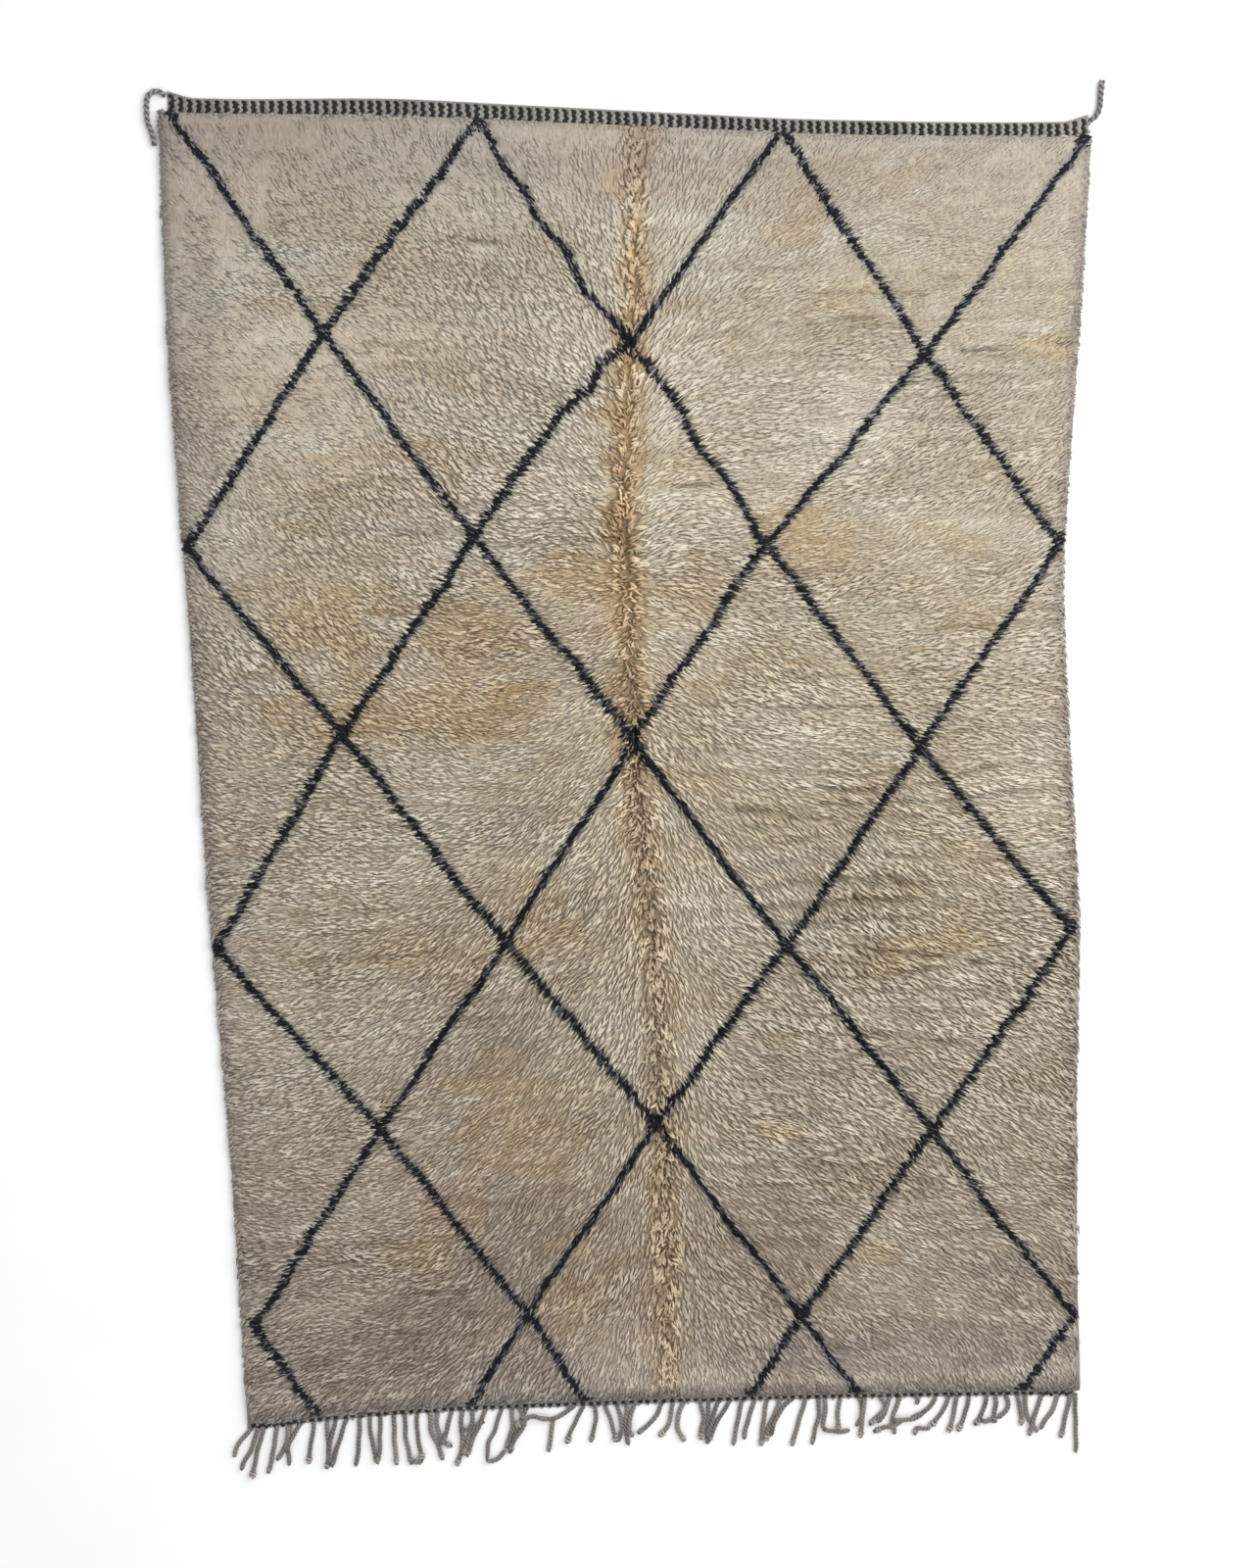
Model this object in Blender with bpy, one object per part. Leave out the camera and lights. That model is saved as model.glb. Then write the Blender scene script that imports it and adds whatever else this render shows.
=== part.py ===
"""Beni Mrirt rug: thick knotted wool pile lying flat, face up, with a twined head band, a twined
foot strip that carries the knotted warp fringe, and a twisted cord at each head corner.

Metres, +Z up, floor at z = 0. +Y runs from the fringed foot to the banded head, +X to the right
as seen from above with the head at the top. The origin is on the floor under the rug's middle,
fringe included.
"""

import math
import random

import bmesh
import bpy
from mathutils import Vector, noise

GAP = 0.0003  # air between pieces that meet
SHARP_ANGLE = 55  # degrees; edges sharper than this stay crisp

# Pile
PILE_HEIGHT = 0.0215  # floor to the pile's middle surface
BROAD_LUMP = 0.0028  # height of the slow swells
BROAD_SIZE = 0.26  # distance over which a swell comes and goes
TUFT_LUMP = 0.0036  # uneven height from one clump of tufts to the next
TUFT_DRIFT = 0.008  # how far a clump sits off its even place
COLUMNS = 17  # clumps from the fold to a side
ROWS = 50  # clumps from foot to head
FOLD_CROWD = 1.35  # above 1 the columns crowd towards the fold
FOLD_DEPTH = 0.008
FOLD_WIDTH = 0.030
CREASE_WIDTH = 0.030
SHOULDER = 0.014  # how far the top surface stops short of the cloth's edge
SHOULDER_DROP = 0.86  # the surface's height there, as a share

# The slab's layers: its top, then the rings of its rim from the locks down
LOCK_LAYER, WALL_LAYER, BASE_LAYER = 1, 2, 3

# Locks of wool at the rim
LOCK_STEPS = 4  # points of the rim to one clump; every other one is a lock's tip
SIDE_REACH = (0.007, 0.016)  # shortest and longest lock over a side
SIDE_NOTCH = (0.001, 0.005)
LOCK_LEAN = 0.006  # how far a lock's tip leans along the rim, either way
SIDE_TIP_Z = 0.004
SIDE_NOTCH_Z = 0.009
END_REACH = (0.003, 0.008)  # locks that lie over the band and the strip
END_NOTCH = (0.0003, 0.0015)
END_Z = 0.0135
SIDE_WALL = 0.0015  # upright edge of the ground cloth, up to where its locks spring
END_WALL = 0.0080

# Head band
BAND_STITCHES = 105  # columns of twined stitches
BAND_CREST = 0.0058
BAND_VALLEY = 0.0040

# Foot strip and fringe
STRIP_WIDTH = 0.012
STRIP_CREST = 0.0062
STRIP_VALLEY = 0.0044
STRAND_WIDTH = 0.0085
STRAND_HEIGHT = 0.0078
STRAND_TOP_SHARE = 0.62  # a strand's top face against its foot
KNOT_WIDTH = 0.0135
KNOT_HEIGHT = 0.0105
TIP_WIDTH = 0.0055
TIP_HEIGHT = 0.0062
ODD_SHORTER = 0.006  # every other strand of a bundle is this much shorter
WAVE = 0.006  # neighbours bend the same way by this much
WAVE_LENGTH = 0.45
OWN_BEND = 0.0022  # and each strand a little in its own way
CLEARING_ROUNDS = 200
LEAN_DEPTH = 0.130  # distance below the strip at which a strand is fully leaned over
STRAND_CLEAR = 0.0160  # least distance between neighbours when fully leaned over

# Corner cords
CORD_RADIUS = 0.0062
CORD_PLIES = 2
CORD_PLY_RISE = 0.16  # how far the plies stand out, as a share of the radius
CORD_LAY = 0.034  # length of one full twist
CORD_SIDES = 8
CORD_STEP = 0.0036
CORD_END_SHARE = 0.6  # the blunt end against the cord
ROUTE_DIVISIONS = 20

# Sides of the pile from foot to head, out to the tips of its locks.
SIDE_EDGES = (  # (y, left x, right x)
    (-1.455, -0.962, 1.029),
    (-1.100, -0.966, 1.018),
    (-0.700, -0.975, 1.011),
    (-0.300, -0.991, 1.010),
    (0.100, -1.001, 0.984),
    (0.500, -1.010, 0.962),
    (0.700, -1.017, 0.970),
    (1.100, -1.024, 0.993),
    (1.545, -1.021, 1.015),
)

# Where the pile stops at the head, and how wide the twined band is there.
HEAD_LINE = (  # (x, y, band width)
    (-1.008, 1.542, 0.044),
    (-0.950, 1.539, 0.032),
    (-0.530, 1.532, 0.036),
    (-0.250, 1.520, 0.034),
    (0.130, 1.502, 0.032),
    (0.410, 1.489, 0.032),
    (0.950, 1.480, 0.034),
    (1.012, 1.479, 0.050),
)

# Where the pile stops at the foot.
FOOT_LINE = (  # (x, y)
    (-0.962, -1.450),
    (-0.583, -1.433),
    (-0.069, -1.436),
    (0.430, -1.446),
    (1.030, -1.466),
)

# The old fold that parts the pile down the middle.
FOLD_LINE = (  # (y, x)
    (-1.455, 0.028),
    (-0.830, 0.024),
    (-0.360, 0.011),
    (0.055, -0.021),
    (0.390, -0.031),
    (0.655, -0.040),
    (1.250, -0.005),
    (1.545, 0.000),
)

# Creases where the pile lies apart.
CREASES = (  # (from x, from y, to x, to y, depth)
    (0.640, 1.010, 0.985, 1.035, 0.004),
    (0.560, 0.010, 0.960, -0.060, 0.004),
    (0.440, -0.130, 0.780, -0.200, 0.003),
    (-0.930, 0.640, -0.560, 0.560, 0.003),
    (-0.900, -0.880, -0.480, -0.820, 0.003),
)

# The fringe as bundles of strands, left to right. Roots are spread evenly over a bundle, and its
# strands lean towards one place.
BUNDLES = (  # (first root x, last root x, strands, place they lean to, length, knotted)
    (-0.960, -0.960, 1, -0.998, 0.075, False),
    (-0.940, -0.924, 2, -0.968, 0.112, True),
    (-0.894, -0.894, 1, -0.916, 0.112, True),
    (-0.866, -0.842, 2, -0.876, 0.102, False),
    (-0.806, -0.806, 1, -0.822, 0.100, True),
    (-0.780, -0.732, 3, -0.776, 0.122, True),
    (-0.700, -0.700, 1, -0.708, 0.118, True),
    (-0.676, -0.650, 2, -0.656, 0.108, True),
    (-0.618, -0.618, 1, -0.612, 0.118, False),
    (-0.592, -0.562, 2, -0.568, 0.115, True),
    (-0.534, -0.480, 3, -0.504, 0.115, True),
    (-0.455, -0.398, 3, -0.462, 0.128, True),
    (-0.362, -0.362, 1, -0.394, 0.112, False),
    (-0.336, -0.250, 3, -0.330, 0.105, True),
    (-0.226, -0.226, 1, -0.240, 0.112, False),
    (-0.196, -0.196, 1, -0.236, 0.098, True),
    (-0.166, -0.166, 1, -0.178, 0.096, True),
    (-0.132, -0.056, 4, -0.100, 0.108, True),
    (-0.018, 0.012, 2, -0.040, 0.082, True),
    (0.038, 0.038, 1, 0.010, 0.088, True),
    (0.064, 0.064, 1, 0.062, 0.102, False),
    (0.098, 0.172, 3, 0.122, 0.108, True),
    (0.200, 0.200, 1, 0.178, 0.112, True),
    (0.230, 0.230, 1, 0.204, 0.104, True),
    (0.258, 0.322, 3, 0.250, 0.116, True),
    (0.352, 0.352, 1, 0.318, 0.124, True),
    (0.386, 0.402, 2, 0.370, 0.118, True),
    (0.434, 0.434, 1, 0.432, 0.108, True),
    (0.478, 0.498, 2, 0.480, 0.106, True),
    (0.530, 0.588, 3, 0.524, 0.094, True),
    (0.616, 0.616, 1, 0.578, 0.100, True),
    (0.664, 0.664, 1, 0.608, 0.078, False),
    (0.700, 0.700, 1, 0.626, 0.104, True),
    (0.724, 0.752, 2, 0.706, 0.112, True),
    (0.794, 0.838, 3, 0.784, 0.088, True),
    (0.862, 0.930, 4, 0.902, 0.106, True),
    (0.966, 0.984, 2, 0.962, 0.116, True),
    (1.012, 1.012, 1, 1.014, 0.142, False),
)

# Cord routes as seen from above, starting beside the band's corner.
LEFT_CORD_ROUTE = (  # (x, y)
    (-1.0125, 1.5760),
    (-1.0300, 1.5850),
    (-1.0490, 1.5740),
    (-1.0530, 1.5500),
    (-1.0520, 1.5200),
    (-1.0440, 1.4960),
    (-1.0400, 1.4720),
)
RIGHT_CORD_ROUTE = (  # (x, y)
    (1.0160, 1.5140),
    (1.0300, 1.5260),
    (1.0370, 1.5450),
    (1.0385, 1.5700),
    (1.0410, 1.6000),
)


def remove_everything():
    """Empties the scene, so that only the rug is in it."""
    for old in list(bpy.data.objects):
        bpy.data.objects.remove(old, do_unlink=True)


def read_table(table, at, column=1):
    """Reads a column at a place in the first column, on a smooth curve through the rows."""
    places = [row[0] for row in table]
    values = [row[column] for row in table]
    at = min(max(at, places[0]), places[-1])
    i = max(k for k in range(len(places) - 1) if places[k] <= at)
    slopes = []
    for k in (i, i + 1):
        low, high = max(k - 1, 0), min(k + 1, len(places) - 1)
        slopes.append((values[high] - values[low]) / (places[high] - places[low]))
    span = places[i + 1] - places[i]
    t = (at - places[i]) / span
    start = (2 * t**3 - 3 * t**2 + 1) * values[i] + (t**3 - 2 * t**2 + t) * span * slopes[0]
    end = (3 * t**2 - 2 * t**3) * values[i + 1] + (t**3 - t**2) * span * slopes[1]
    return start + end


def finish(name, shell, colour, roughness):
    """Turns a closed shell into one named piece with its own material."""
    bmesh.ops.recalc_face_normals(shell, faces=shell.faces)
    if shell.calc_volume(signed=True) < 0:
        bmesh.ops.reverse_faces(shell, faces=shell.faces)
    mesh = bpy.data.meshes.new(name)
    shell.to_mesh(mesh)
    shell.free()
    material = bpy.data.materials.new(name)
    material.use_nodes = True
    shader = material.node_tree.nodes["Principled BSDF"]
    shader.inputs["Base Color"].default_value = (*colour, 1.0)
    shader.inputs["Roughness"].default_value = roughness
    shader.inputs["Metallic"].default_value = 0.0
    mesh.materials.append(material)
    mesh.shade_smooth()
    mesh.set_sharp_from_angle(angle=math.radians(SHARP_ANGLE))
    piece = bpy.data.objects.new(name, mesh)
    bpy.context.collection.objects.link(piece)


def new_points(extruded):
    """The points that an extrusion made."""
    return [part for part in extruded["geom"] if isinstance(part, bmesh.types.BMVert)]


def flat_grid(columns, rows):
    """A grid of cells in which each point's place is its (column, row) and its layer is 0."""
    grid = bmesh.new()
    bmesh.ops.create_grid(grid, x_segments=columns, y_segments=rows, size=0.5)
    for point in grid.verts:
        column, row = (point.co.x + 0.5) * columns, (point.co.y + 0.5) * rows
        point.co = (round(column), round(row), 0.0)
    return grid


# ---------------------------------------------------------------- pile


def crease_drop(x, y):
    """How far the surface sinks into the creases near a place."""
    drop = 0.0
    for from_x, from_y, to_x, to_y, depth in CREASES:
        start, end, place = Vector((from_x, from_y)), Vector((to_x, to_y)), Vector((x, y))
        share = (place - start).dot(end - start) / (end - start).length_squared
        nearest = start.lerp(end, min(max(share, 0.0), 1.0))
        drop += depth * math.exp(-(((place - nearest).length / CREASE_WIDTH) ** 2))
    return drop


def pile_surface(x, y):
    """Height of the pile without its clumps: slow swells, the middle fold and the creases."""
    swell = BROAD_LUMP * noise.noise(Vector((x, y, 0.0)) / BROAD_SIZE)
    fold = FOLD_DEPTH * math.exp(-(((x - read_table(FOLD_LINE, y)) / FOLD_WIDTH) ** 2))
    return PILE_HEIGHT + swell - fold - crease_drop(x, y)


def cloth_place(column, row):
    """A place on the ground cloth, counted in clumps from its left foot corner."""
    across, along = column / COLUMNS - 1, row / ROWS
    y = FOOT_LINE[0][1] + (HEAD_LINE[0][1] - FOOT_LINE[0][1]) * along
    middle = read_table(FOLD_LINE, y)
    left, right = (read_table(SIDE_EDGES, y, side) for side in (1, 2))
    edge = left + SIDE_REACH[1] if across < 0 else right - SIDE_REACH[1]
    x = middle + (edge - middle) * abs(across) ** FOLD_CROWD
    foot, head = read_table(FOOT_LINE, x) + GAP, read_table(HEAD_LINE, x) - GAP
    return x, foot + (head - foot) * along


def outward(column, row):
    """Which way the rim faces there, (0, 0) off the rim. The foot and head take the corners."""
    if row in (0, ROWS):
        return 0, -1 if row == 0 else 1
    return (column == 2 * COLUMNS) - (column == 0), 0


def top_point(column, row, dice):
    """A point of the upper surface, drifted off its even place and raised or lowered."""
    x, y = cloth_place(column, row)
    over_x, over_y = outward(column, row)
    if row in (0, ROWS):
        over_x = (column == 2 * COLUMNS) - (column == 0)
    inside = not over_x and not over_y
    if inside:
        x += dice.uniform(-TUFT_DRIFT, TUFT_DRIFT) if column != COLUMNS else 0.0
        y += dice.uniform(-TUFT_DRIFT, TUFT_DRIFT)
    x, y = x - SHOULDER * over_x, y - SHOULDER * over_y
    if not inside:
        return x, y, pile_surface(x, y) * SHOULDER_DROP
    return x, y, pile_surface(x, y) + TUFT_LUMP * dice.uniform(-1.0, 1.0)


def rim_point(column, row, layer, dice):
    """A point of the rim: the ring of locks, the upright edge of the cloth, or its foot."""
    x, y = cloth_place(column, row)
    over_x, over_y = outward(column, row)
    if layer == BASE_LAYER:
        return x, y, 0.0
    if layer == WALL_LAYER:
        return x, y, END_WALL if over_y else SIDE_WALL
    is_tip = round((column if over_y else row) * LOCK_STEPS) % 2 == 1
    lean = dice.uniform(-LOCK_LEAN, LOCK_LEAN) if is_tip else 0.0
    if over_y:
        reach = dice.uniform(*(END_REACH if is_tip else END_NOTCH))
        return x + lean, y + over_y * reach, END_Z
    reach = dice.uniform(*(SIDE_REACH if is_tip else SIDE_NOTCH))
    return x + over_x * reach, y + lean, SIDE_TIP_Z if is_tip else SIDE_NOTCH_Z


def build_pile():
    """The knotted rug: a lumpy slab, flat underneath, with locks of wool all round its rim."""
    dice = random.Random(11)
    slab = flat_grid(2 * COLUMNS, ROWS)
    rim = [edge for edge in slab.edges if edge.is_boundary]
    bmesh.ops.bisect_edges(slab, edges=rim, cuts=LOCK_STEPS - 1)
    for layer in (LOCK_LAYER, WALL_LAYER, BASE_LAYER):
        rim = [edge for edge in slab.edges if edge.is_boundary]
        for point in new_points(bmesh.ops.extrude_edge_only(slab, edges=rim)):
            point.co.z = layer
    rim = [edge for edge in slab.edges if edge.is_boundary]
    bmesh.ops.triangle_fill(slab, use_beauty=True, edges=rim)
    for point in slab.verts:
        column, row, layer = point.co
        place = rim_point(column, row, layer, dice) if layer else top_point(column, row, dice)
        point.co = place
    bmesh.ops.triangulate(slab, faces=slab.faces, ngon_method="BEAUTY")
    finish("pile_field", slab, (0.56, 0.49, 0.38), 0.95)


# ---------------------------------------------------------------- head band


def build_band():
    """The flat twined band at the head, ribbed across at every column of stitches."""
    steps = 2 * BAND_STITCHES
    band = flat_grid(steps, 1)
    for point in new_points(bmesh.ops.extrude_face_region(band, geom=band.faces[:])):
        point.co.z = 1.0
    start, end = HEAD_LINE[0][0], HEAD_LINE[-1][0]
    for point in band.verts:
        step, upper, top = point.co
        x = start + (end - start) * step / steps
        low = read_table(HEAD_LINE, x)
        y = low + read_table(HEAD_LINE, x, 2) if upper else low + GAP
        point.co = (x, y, top * (BAND_CREST if step % 2 else BAND_VALLEY))
    finish("head_band", band, (0.34, 0.33, 0.31), 0.9)


# ---------------------------------------------------------------- foot strip and fringe


def strand_rows():
    """Every strand as [root x, place it leans to, length, knotted], clear of its neighbours."""
    strands = []
    for first, last, count, lean_to, length, knotted in BUNDLES:
        for k in range(count):
            share = k / (count - 1) if count > 1 else 0.5
            root = first + (last - first) * share
            target = lean_to + (share - 0.5) * STRAND_CLEAR * (count - 1)
            strands.append([root, target, length - ODD_SHORTER * (k % 2), knotted])
    for _ in range(CLEARING_ROUNDS):
        for left, right in zip(strands, strands[1:]):
            short = max(STRAND_CLEAR - (right[1] - left[1]), 0.0)
            left[1] -= short / 2
            right[1] += short / 2
    return strands


def strip_sections(strands):
    """Places across the strip with its height there: high over each strand, low between two."""
    sections = []
    for k, (root, _, _, _) in enumerate(strands):
        if k:
            sections.append(((strands[k - 1][0] + root) / 2, STRIP_VALLEY))
        sections.append((root - STRAND_WIDTH / 2, STRIP_CREST))
        sections.append((root + STRAND_WIDTH / 2, STRIP_CREST))
    return sections


def grow_strand(shell, mouth, target, length, knotted, own_bend):
    """Draws one strand out of its mouth on the strip, section by section, flat on the floor."""
    middle = mouth.calc_center_median()
    bend = own_bend + WAVE * math.sin(math.tau * middle.x / WAVE_LENGTH)
    side = Vector((LEAN_DEPTH, target - middle.x, 0.0)).normalized()
    swell = (KNOT_WIDTH, KNOT_HEIGHT) if knotted else (STRAND_WIDTH, STRAND_HEIGHT)
    sections = (  # (share of the length, width, height)
        (0.14, STRAND_WIDTH, STRAND_HEIGHT),
        (0.45, STRAND_WIDTH, STRAND_HEIGHT),
        (0.76, STRAND_WIDTH, STRAND_HEIGHT),
        (0.88, *swell),
        (1.00, TIP_WIDTH, TIP_HEIGHT),
    )
    face = mouth
    for share, width, height in sections:
        lean = length * share / LEAN_DEPTH
        shift = (target - middle.x) * lean + bend * math.sin(math.pi * lean)
        centre = Vector((middle.x + shift, middle.y - length * share, 0.0))
        drawn = bmesh.ops.extrude_discrete_faces(shell, faces=[face])["faces"]
        face = drawn[0]
        points = sorted(face.verts, key=lambda point: (point.co.z > 0, (point.co - middle).dot(side)))
        for point, (across, up) in zip(points, ((-1, 0), (1, 0), (-1, 1), (1, 1))):
            share_wide = STRAND_TOP_SHARE if up else 1.0
            point.co = centre + side * across * share_wide * width / 2 + Vector((0, 0, height * up))


def build_fringe():
    """The twined strip across the foot, with the strands of the warp growing out of its edge."""
    strands = strand_rows()
    sections = strip_sections(strands)
    strip = flat_grid(len(sections) - 1, 1)
    for point in new_points(bmesh.ops.extrude_face_region(strip, geom=strip.faces[:])):
        point.co.z = 1.0
    for point in strip.verts:
        section, back, top = point.co
        x, height = sections[round(section)]
        y = read_table(FOOT_LINE, x) - GAP - (0.0 if back else STRIP_WIDTH)
        point.co = (x, y, height * top)
    strip.normal_update()
    front = [face for face in strip.faces if face.normal.y < -0.5]
    dice = random.Random(5)
    for root, target, length, knotted in strands:
        mouth = min(front, key=lambda face: abs(face.calc_center_median().x - root))
        front.remove(mouth)
        grow_strand(strip, mouth, target, length, knotted, dice.uniform(-OWN_BEND, OWN_BEND))
    finish("foot_fringe", strip, (0.36, 0.32, 0.27), 0.9)


# ---------------------------------------------------------------- corner cords


def smooth_route(route, step):
    """Evenly spaced points on a smooth curve through a route's own points."""
    before = 2 * Vector(route[0]) - Vector(route[1])
    after = 2 * Vector(route[-1]) - Vector(route[-2])
    knots = [before] + [Vector(place) for place in route] + [after]
    fine = []
    for a, b, c, d in zip(knots, knots[1:], knots[2:], knots[3:]):
        for k in range(ROUTE_DIVISIONS):
            t = k / ROUTE_DIVISIONS
            bend = 2 * b + (c - a) * t + (2 * a - 5 * b + 4 * c - d) * t**2
            fine.append((bend + (3 * b - a - 3 * c + d) * t**3) / 2)
    fine.append(knots[-2])
    total = sum((q - p).length for p, q in zip(fine, fine[1:]))
    count = round(total / step)
    even, travelled = [fine[0]], 0.0
    for p, q in zip(fine, fine[1:]):
        length = (q - p).length
        while len(even) < count and travelled + length >= len(even) * total / count:
            even.append(p.lerp(q, (len(even) * total / count - travelled) / length))
        travelled += length
    return even + [fine[-1]]


def build_cord(name, route, end_swell):
    """A twisted cord on the floor: a round section with raised plies that turn along the route."""
    path = smooth_route(route, CORD_STEP)
    axis_height = CORD_RADIUS * (1 + CORD_PLY_RISE) * end_swell
    cord = bmesh.new()
    bmesh.ops.create_circle(cord, cap_ends=True, segments=CORD_SIDES, radius=CORD_RADIUS)
    face = cord.faces[:][0]
    for k, centre in enumerate(path):
        if k:
            face = bmesh.ops.extrude_discrete_faces(cord, faces=[face])["faces"][0]
        ahead = path[min(k + 1, len(path) - 1)] - path[max(k - 1, 0)]
        side = Vector((ahead.y, -ahead.x)).normalized()
        share = k / (len(path) - 1)
        radius = CORD_RADIUS * (1 + (end_swell - 1) * share**2)
        if k == len(path) - 1:
            radius *= CORD_END_SHARE
        turn = math.tau * k * CORD_STEP / CORD_LAY
        for s, point in enumerate(face.verts):
            angle = math.tau * s / CORD_SIDES
            out = radius * (1 + CORD_PLY_RISE * math.cos(CORD_PLIES * (angle - turn)))
            reach = side * out * math.cos(angle)
            point.co = (centre.x + reach.x, centre.y + reach.y, axis_height + out * math.sin(angle))
    bmesh.ops.holes_fill(cord, edges=[edge for edge in cord.edges if edge.is_boundary])
    finish(name, cord, (0.30, 0.28, 0.26), 0.9)


def main():
    """Builds the rug's five pieces."""
    remove_everything()
    build_pile()
    build_band()
    build_fringe()
    build_cord("corner_cord_left", LEFT_CORD_ROUTE, 1.0)
    build_cord("corner_cord_right", RIGHT_CORD_ROUTE, 1.25)


main()
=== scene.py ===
"""The looks of a hand-knotted wool shag rug.

The rug lies face up on a pale studio floor. It is made of a woven ground cloth, tens of
thousands of leaning locks of wool, a black lattice knotted into them, a twined band across
the head, a stitched strip with a knotted fringe across the foot, and a cord at each head corner.
"""

import logging
import math
from dataclasses import dataclass, field
from enum import Enum
from typing import Any

import bpy
import numpy as np
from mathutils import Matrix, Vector
from mathutils.kdtree import KDTree


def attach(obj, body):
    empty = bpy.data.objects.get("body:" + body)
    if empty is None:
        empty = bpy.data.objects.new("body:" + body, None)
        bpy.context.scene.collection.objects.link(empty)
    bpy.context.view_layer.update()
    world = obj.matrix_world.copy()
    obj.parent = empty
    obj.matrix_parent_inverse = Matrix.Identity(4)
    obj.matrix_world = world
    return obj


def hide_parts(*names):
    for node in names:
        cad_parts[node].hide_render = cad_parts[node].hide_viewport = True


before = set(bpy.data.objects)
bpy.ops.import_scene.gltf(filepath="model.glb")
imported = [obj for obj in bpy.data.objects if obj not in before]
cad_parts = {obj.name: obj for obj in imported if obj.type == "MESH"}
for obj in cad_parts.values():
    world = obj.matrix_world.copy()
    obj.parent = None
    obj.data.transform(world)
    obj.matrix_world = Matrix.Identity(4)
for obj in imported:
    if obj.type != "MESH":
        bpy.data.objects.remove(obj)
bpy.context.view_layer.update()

LOG = logging.getLogger("rug")
ROOT = "root"
UP = np.array([0.0, 0.0, 1.0])
GAP = 0.0003
SMALL = 1e-6
BELLY_AT = 0.42  # share of a lock's reach where its belly lies
SHADE_POWER = 0.7  # how much of the pile's shade a lock takes, as a power
SHEEN_ROUGHNESS = 0.6

Array = np.ndarray
Dice = np.random.Generator
Piece = bpy.types.Object
Material = bpy.types.Material
Socket = bpy.types.NodeSocket
Pair = tuple[float, float]
Triple = tuple[float, float, float]
Table = tuple[tuple[float, ...], ...]

# ---------------------------------------------------------------------------------------------
# The rug's own outline and lines, in metres from the middle of the floor under it.

SIDE_EDGES: Table = (  # (place along the rug, left edge, right edge)
    (-1.455, -0.962, 1.029),
    (-1.100, -0.966, 1.018),
    (-0.700, -0.975, 1.011),
    (-0.300, -0.991, 1.010),
    (0.100, -1.001, 0.984),
    (0.500, -1.010, 0.962),
    (0.700, -1.017, 0.970),
    (1.100, -1.024, 0.993),
    (1.545, -1.021, 1.015),
)
HEAD_LINE: Table = (  # (place across, end of the pile, width of the twined band)
    (-1.008, 1.542, 0.044),
    (-0.950, 1.539, 0.032),
    (-0.530, 1.532, 0.036),
    (-0.250, 1.520, 0.034),
    (0.130, 1.502, 0.032),
    (0.410, 1.489, 0.032),
    (0.950, 1.480, 0.034),
    (1.012, 1.479, 0.050),
)
FOOT_LINE: Table = (  # (place across, end of the pile)
    (-0.962, -1.450),
    (-0.583, -1.433),
    (-0.069, -1.436),
    (0.430, -1.446),
    (1.030, -1.466),
)
FOLD_LINE: Table = (  # (place along, the parting down the middle)
    (-1.455, 0.028),
    (-0.830, 0.024),
    (-0.360, 0.011),
    (0.055, -0.021),
    (0.390, -0.031),
    (0.655, -0.040),
    (1.250, -0.005),
    (1.545, 0.000),
)
# How far the wool leans towards the head, in degrees from straight out to the nearer side.
# Columns are distances from the parting, rows are places along the rug.
LEAN_COLUMNS = (-1.00, -0.70, -0.40, -0.15, -0.04, 0.04, 0.15, 0.40, 0.70, 1.00)
LEAN_ROWS: Table = (
    (-1.47, -75, -78, -80, -82, -86, -86, -82, -80, -78, -75),
    (-1.40, -40, -45, -55, -70, -84, -84, -70, -58, -50, -48),
    (-1.25, -8, -14, -40, -60, -82, -80, -60, -45, -38, -35),
    (-1.00, 0, 5, -38, -50, -78, -78, -45, -35, -32, -30),
    (-0.70, 5, -10, -38, -45, -75, -72, -35, -28, -28, -25),
    (-0.40, 2, -10, -35, -45, -70, -65, -35, -38, -25, -15),
    (-0.15, 2, 5, -30, -50, -65, -62, -40, -40, -25, -10),
    (0.10, 10, 8, 15, -30, -45, -40, -35, -15, -10, -8),
    (0.35, 35, 38, 15, -10, -25, -20, -20, -15, 10, 0),
    (0.60, 32, 35, 25, 0, 15, 15, -20, 10, 22, 20),
    (0.85, 30, 32, 38, 40, 50, 50, 20, 0, 15, 32),
    (1.15, 15, 25, 38, 55, 62, 65, 45, 25, 12, 25),
    (1.40, 35, 40, 45, 60, 78, 78, 60, 40, 30, 35),
    (1.52, 70, 72, 75, 80, 86, 86, 80, 75, 70, 70),
)
OPEN_COLUMNS = (-0.75, -0.05, 0.75)
OPEN_ROWS: Table = (  # how deep the gaps between the locks are and how much painted shade they get, from the foot up, at the columns above
    (-1.46, 0.35, 0.35, 0.35),
    (-1.41, 0.80, 0.80, 0.80),
    (-1.28, 1.20, 1.30, 1.30),
    (-0.90, 1.20, 1.60, 1.70),
    (-0.45, 1.20, 1.80, 1.90),
    (0.00, 1.25, 1.70, 1.70),
    (0.40, 1.10, 1.55, 1.15),
    (0.80, 0.65, 1.20, 0.85),
    (1.15, 0.35, 0.80, 0.60),
    (1.40, 0.25, 0.45, 0.35),
    (1.50, 0.15, 0.15, 0.15),
)
WAVE_ZONES = (  # (middle x, y, reach across, reach along, strength of the waves there)
    (0.55, -0.15, 0.55, 0.55, 1.0),
    (0.40, -0.90, 0.60, 0.40, 0.65),
    (-0.50, -0.20, 0.50, 0.50, 0.55),
    (-0.50, -1.10, 0.45, 0.30, 0.55),
    (0.55, 0.95, 0.50, 0.40, 0.55),
    (-0.15, 0.55, 0.50, 0.35, 0.55),
    (-0.45, 1.00, 0.45, 0.30, 0.30),
)
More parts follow.
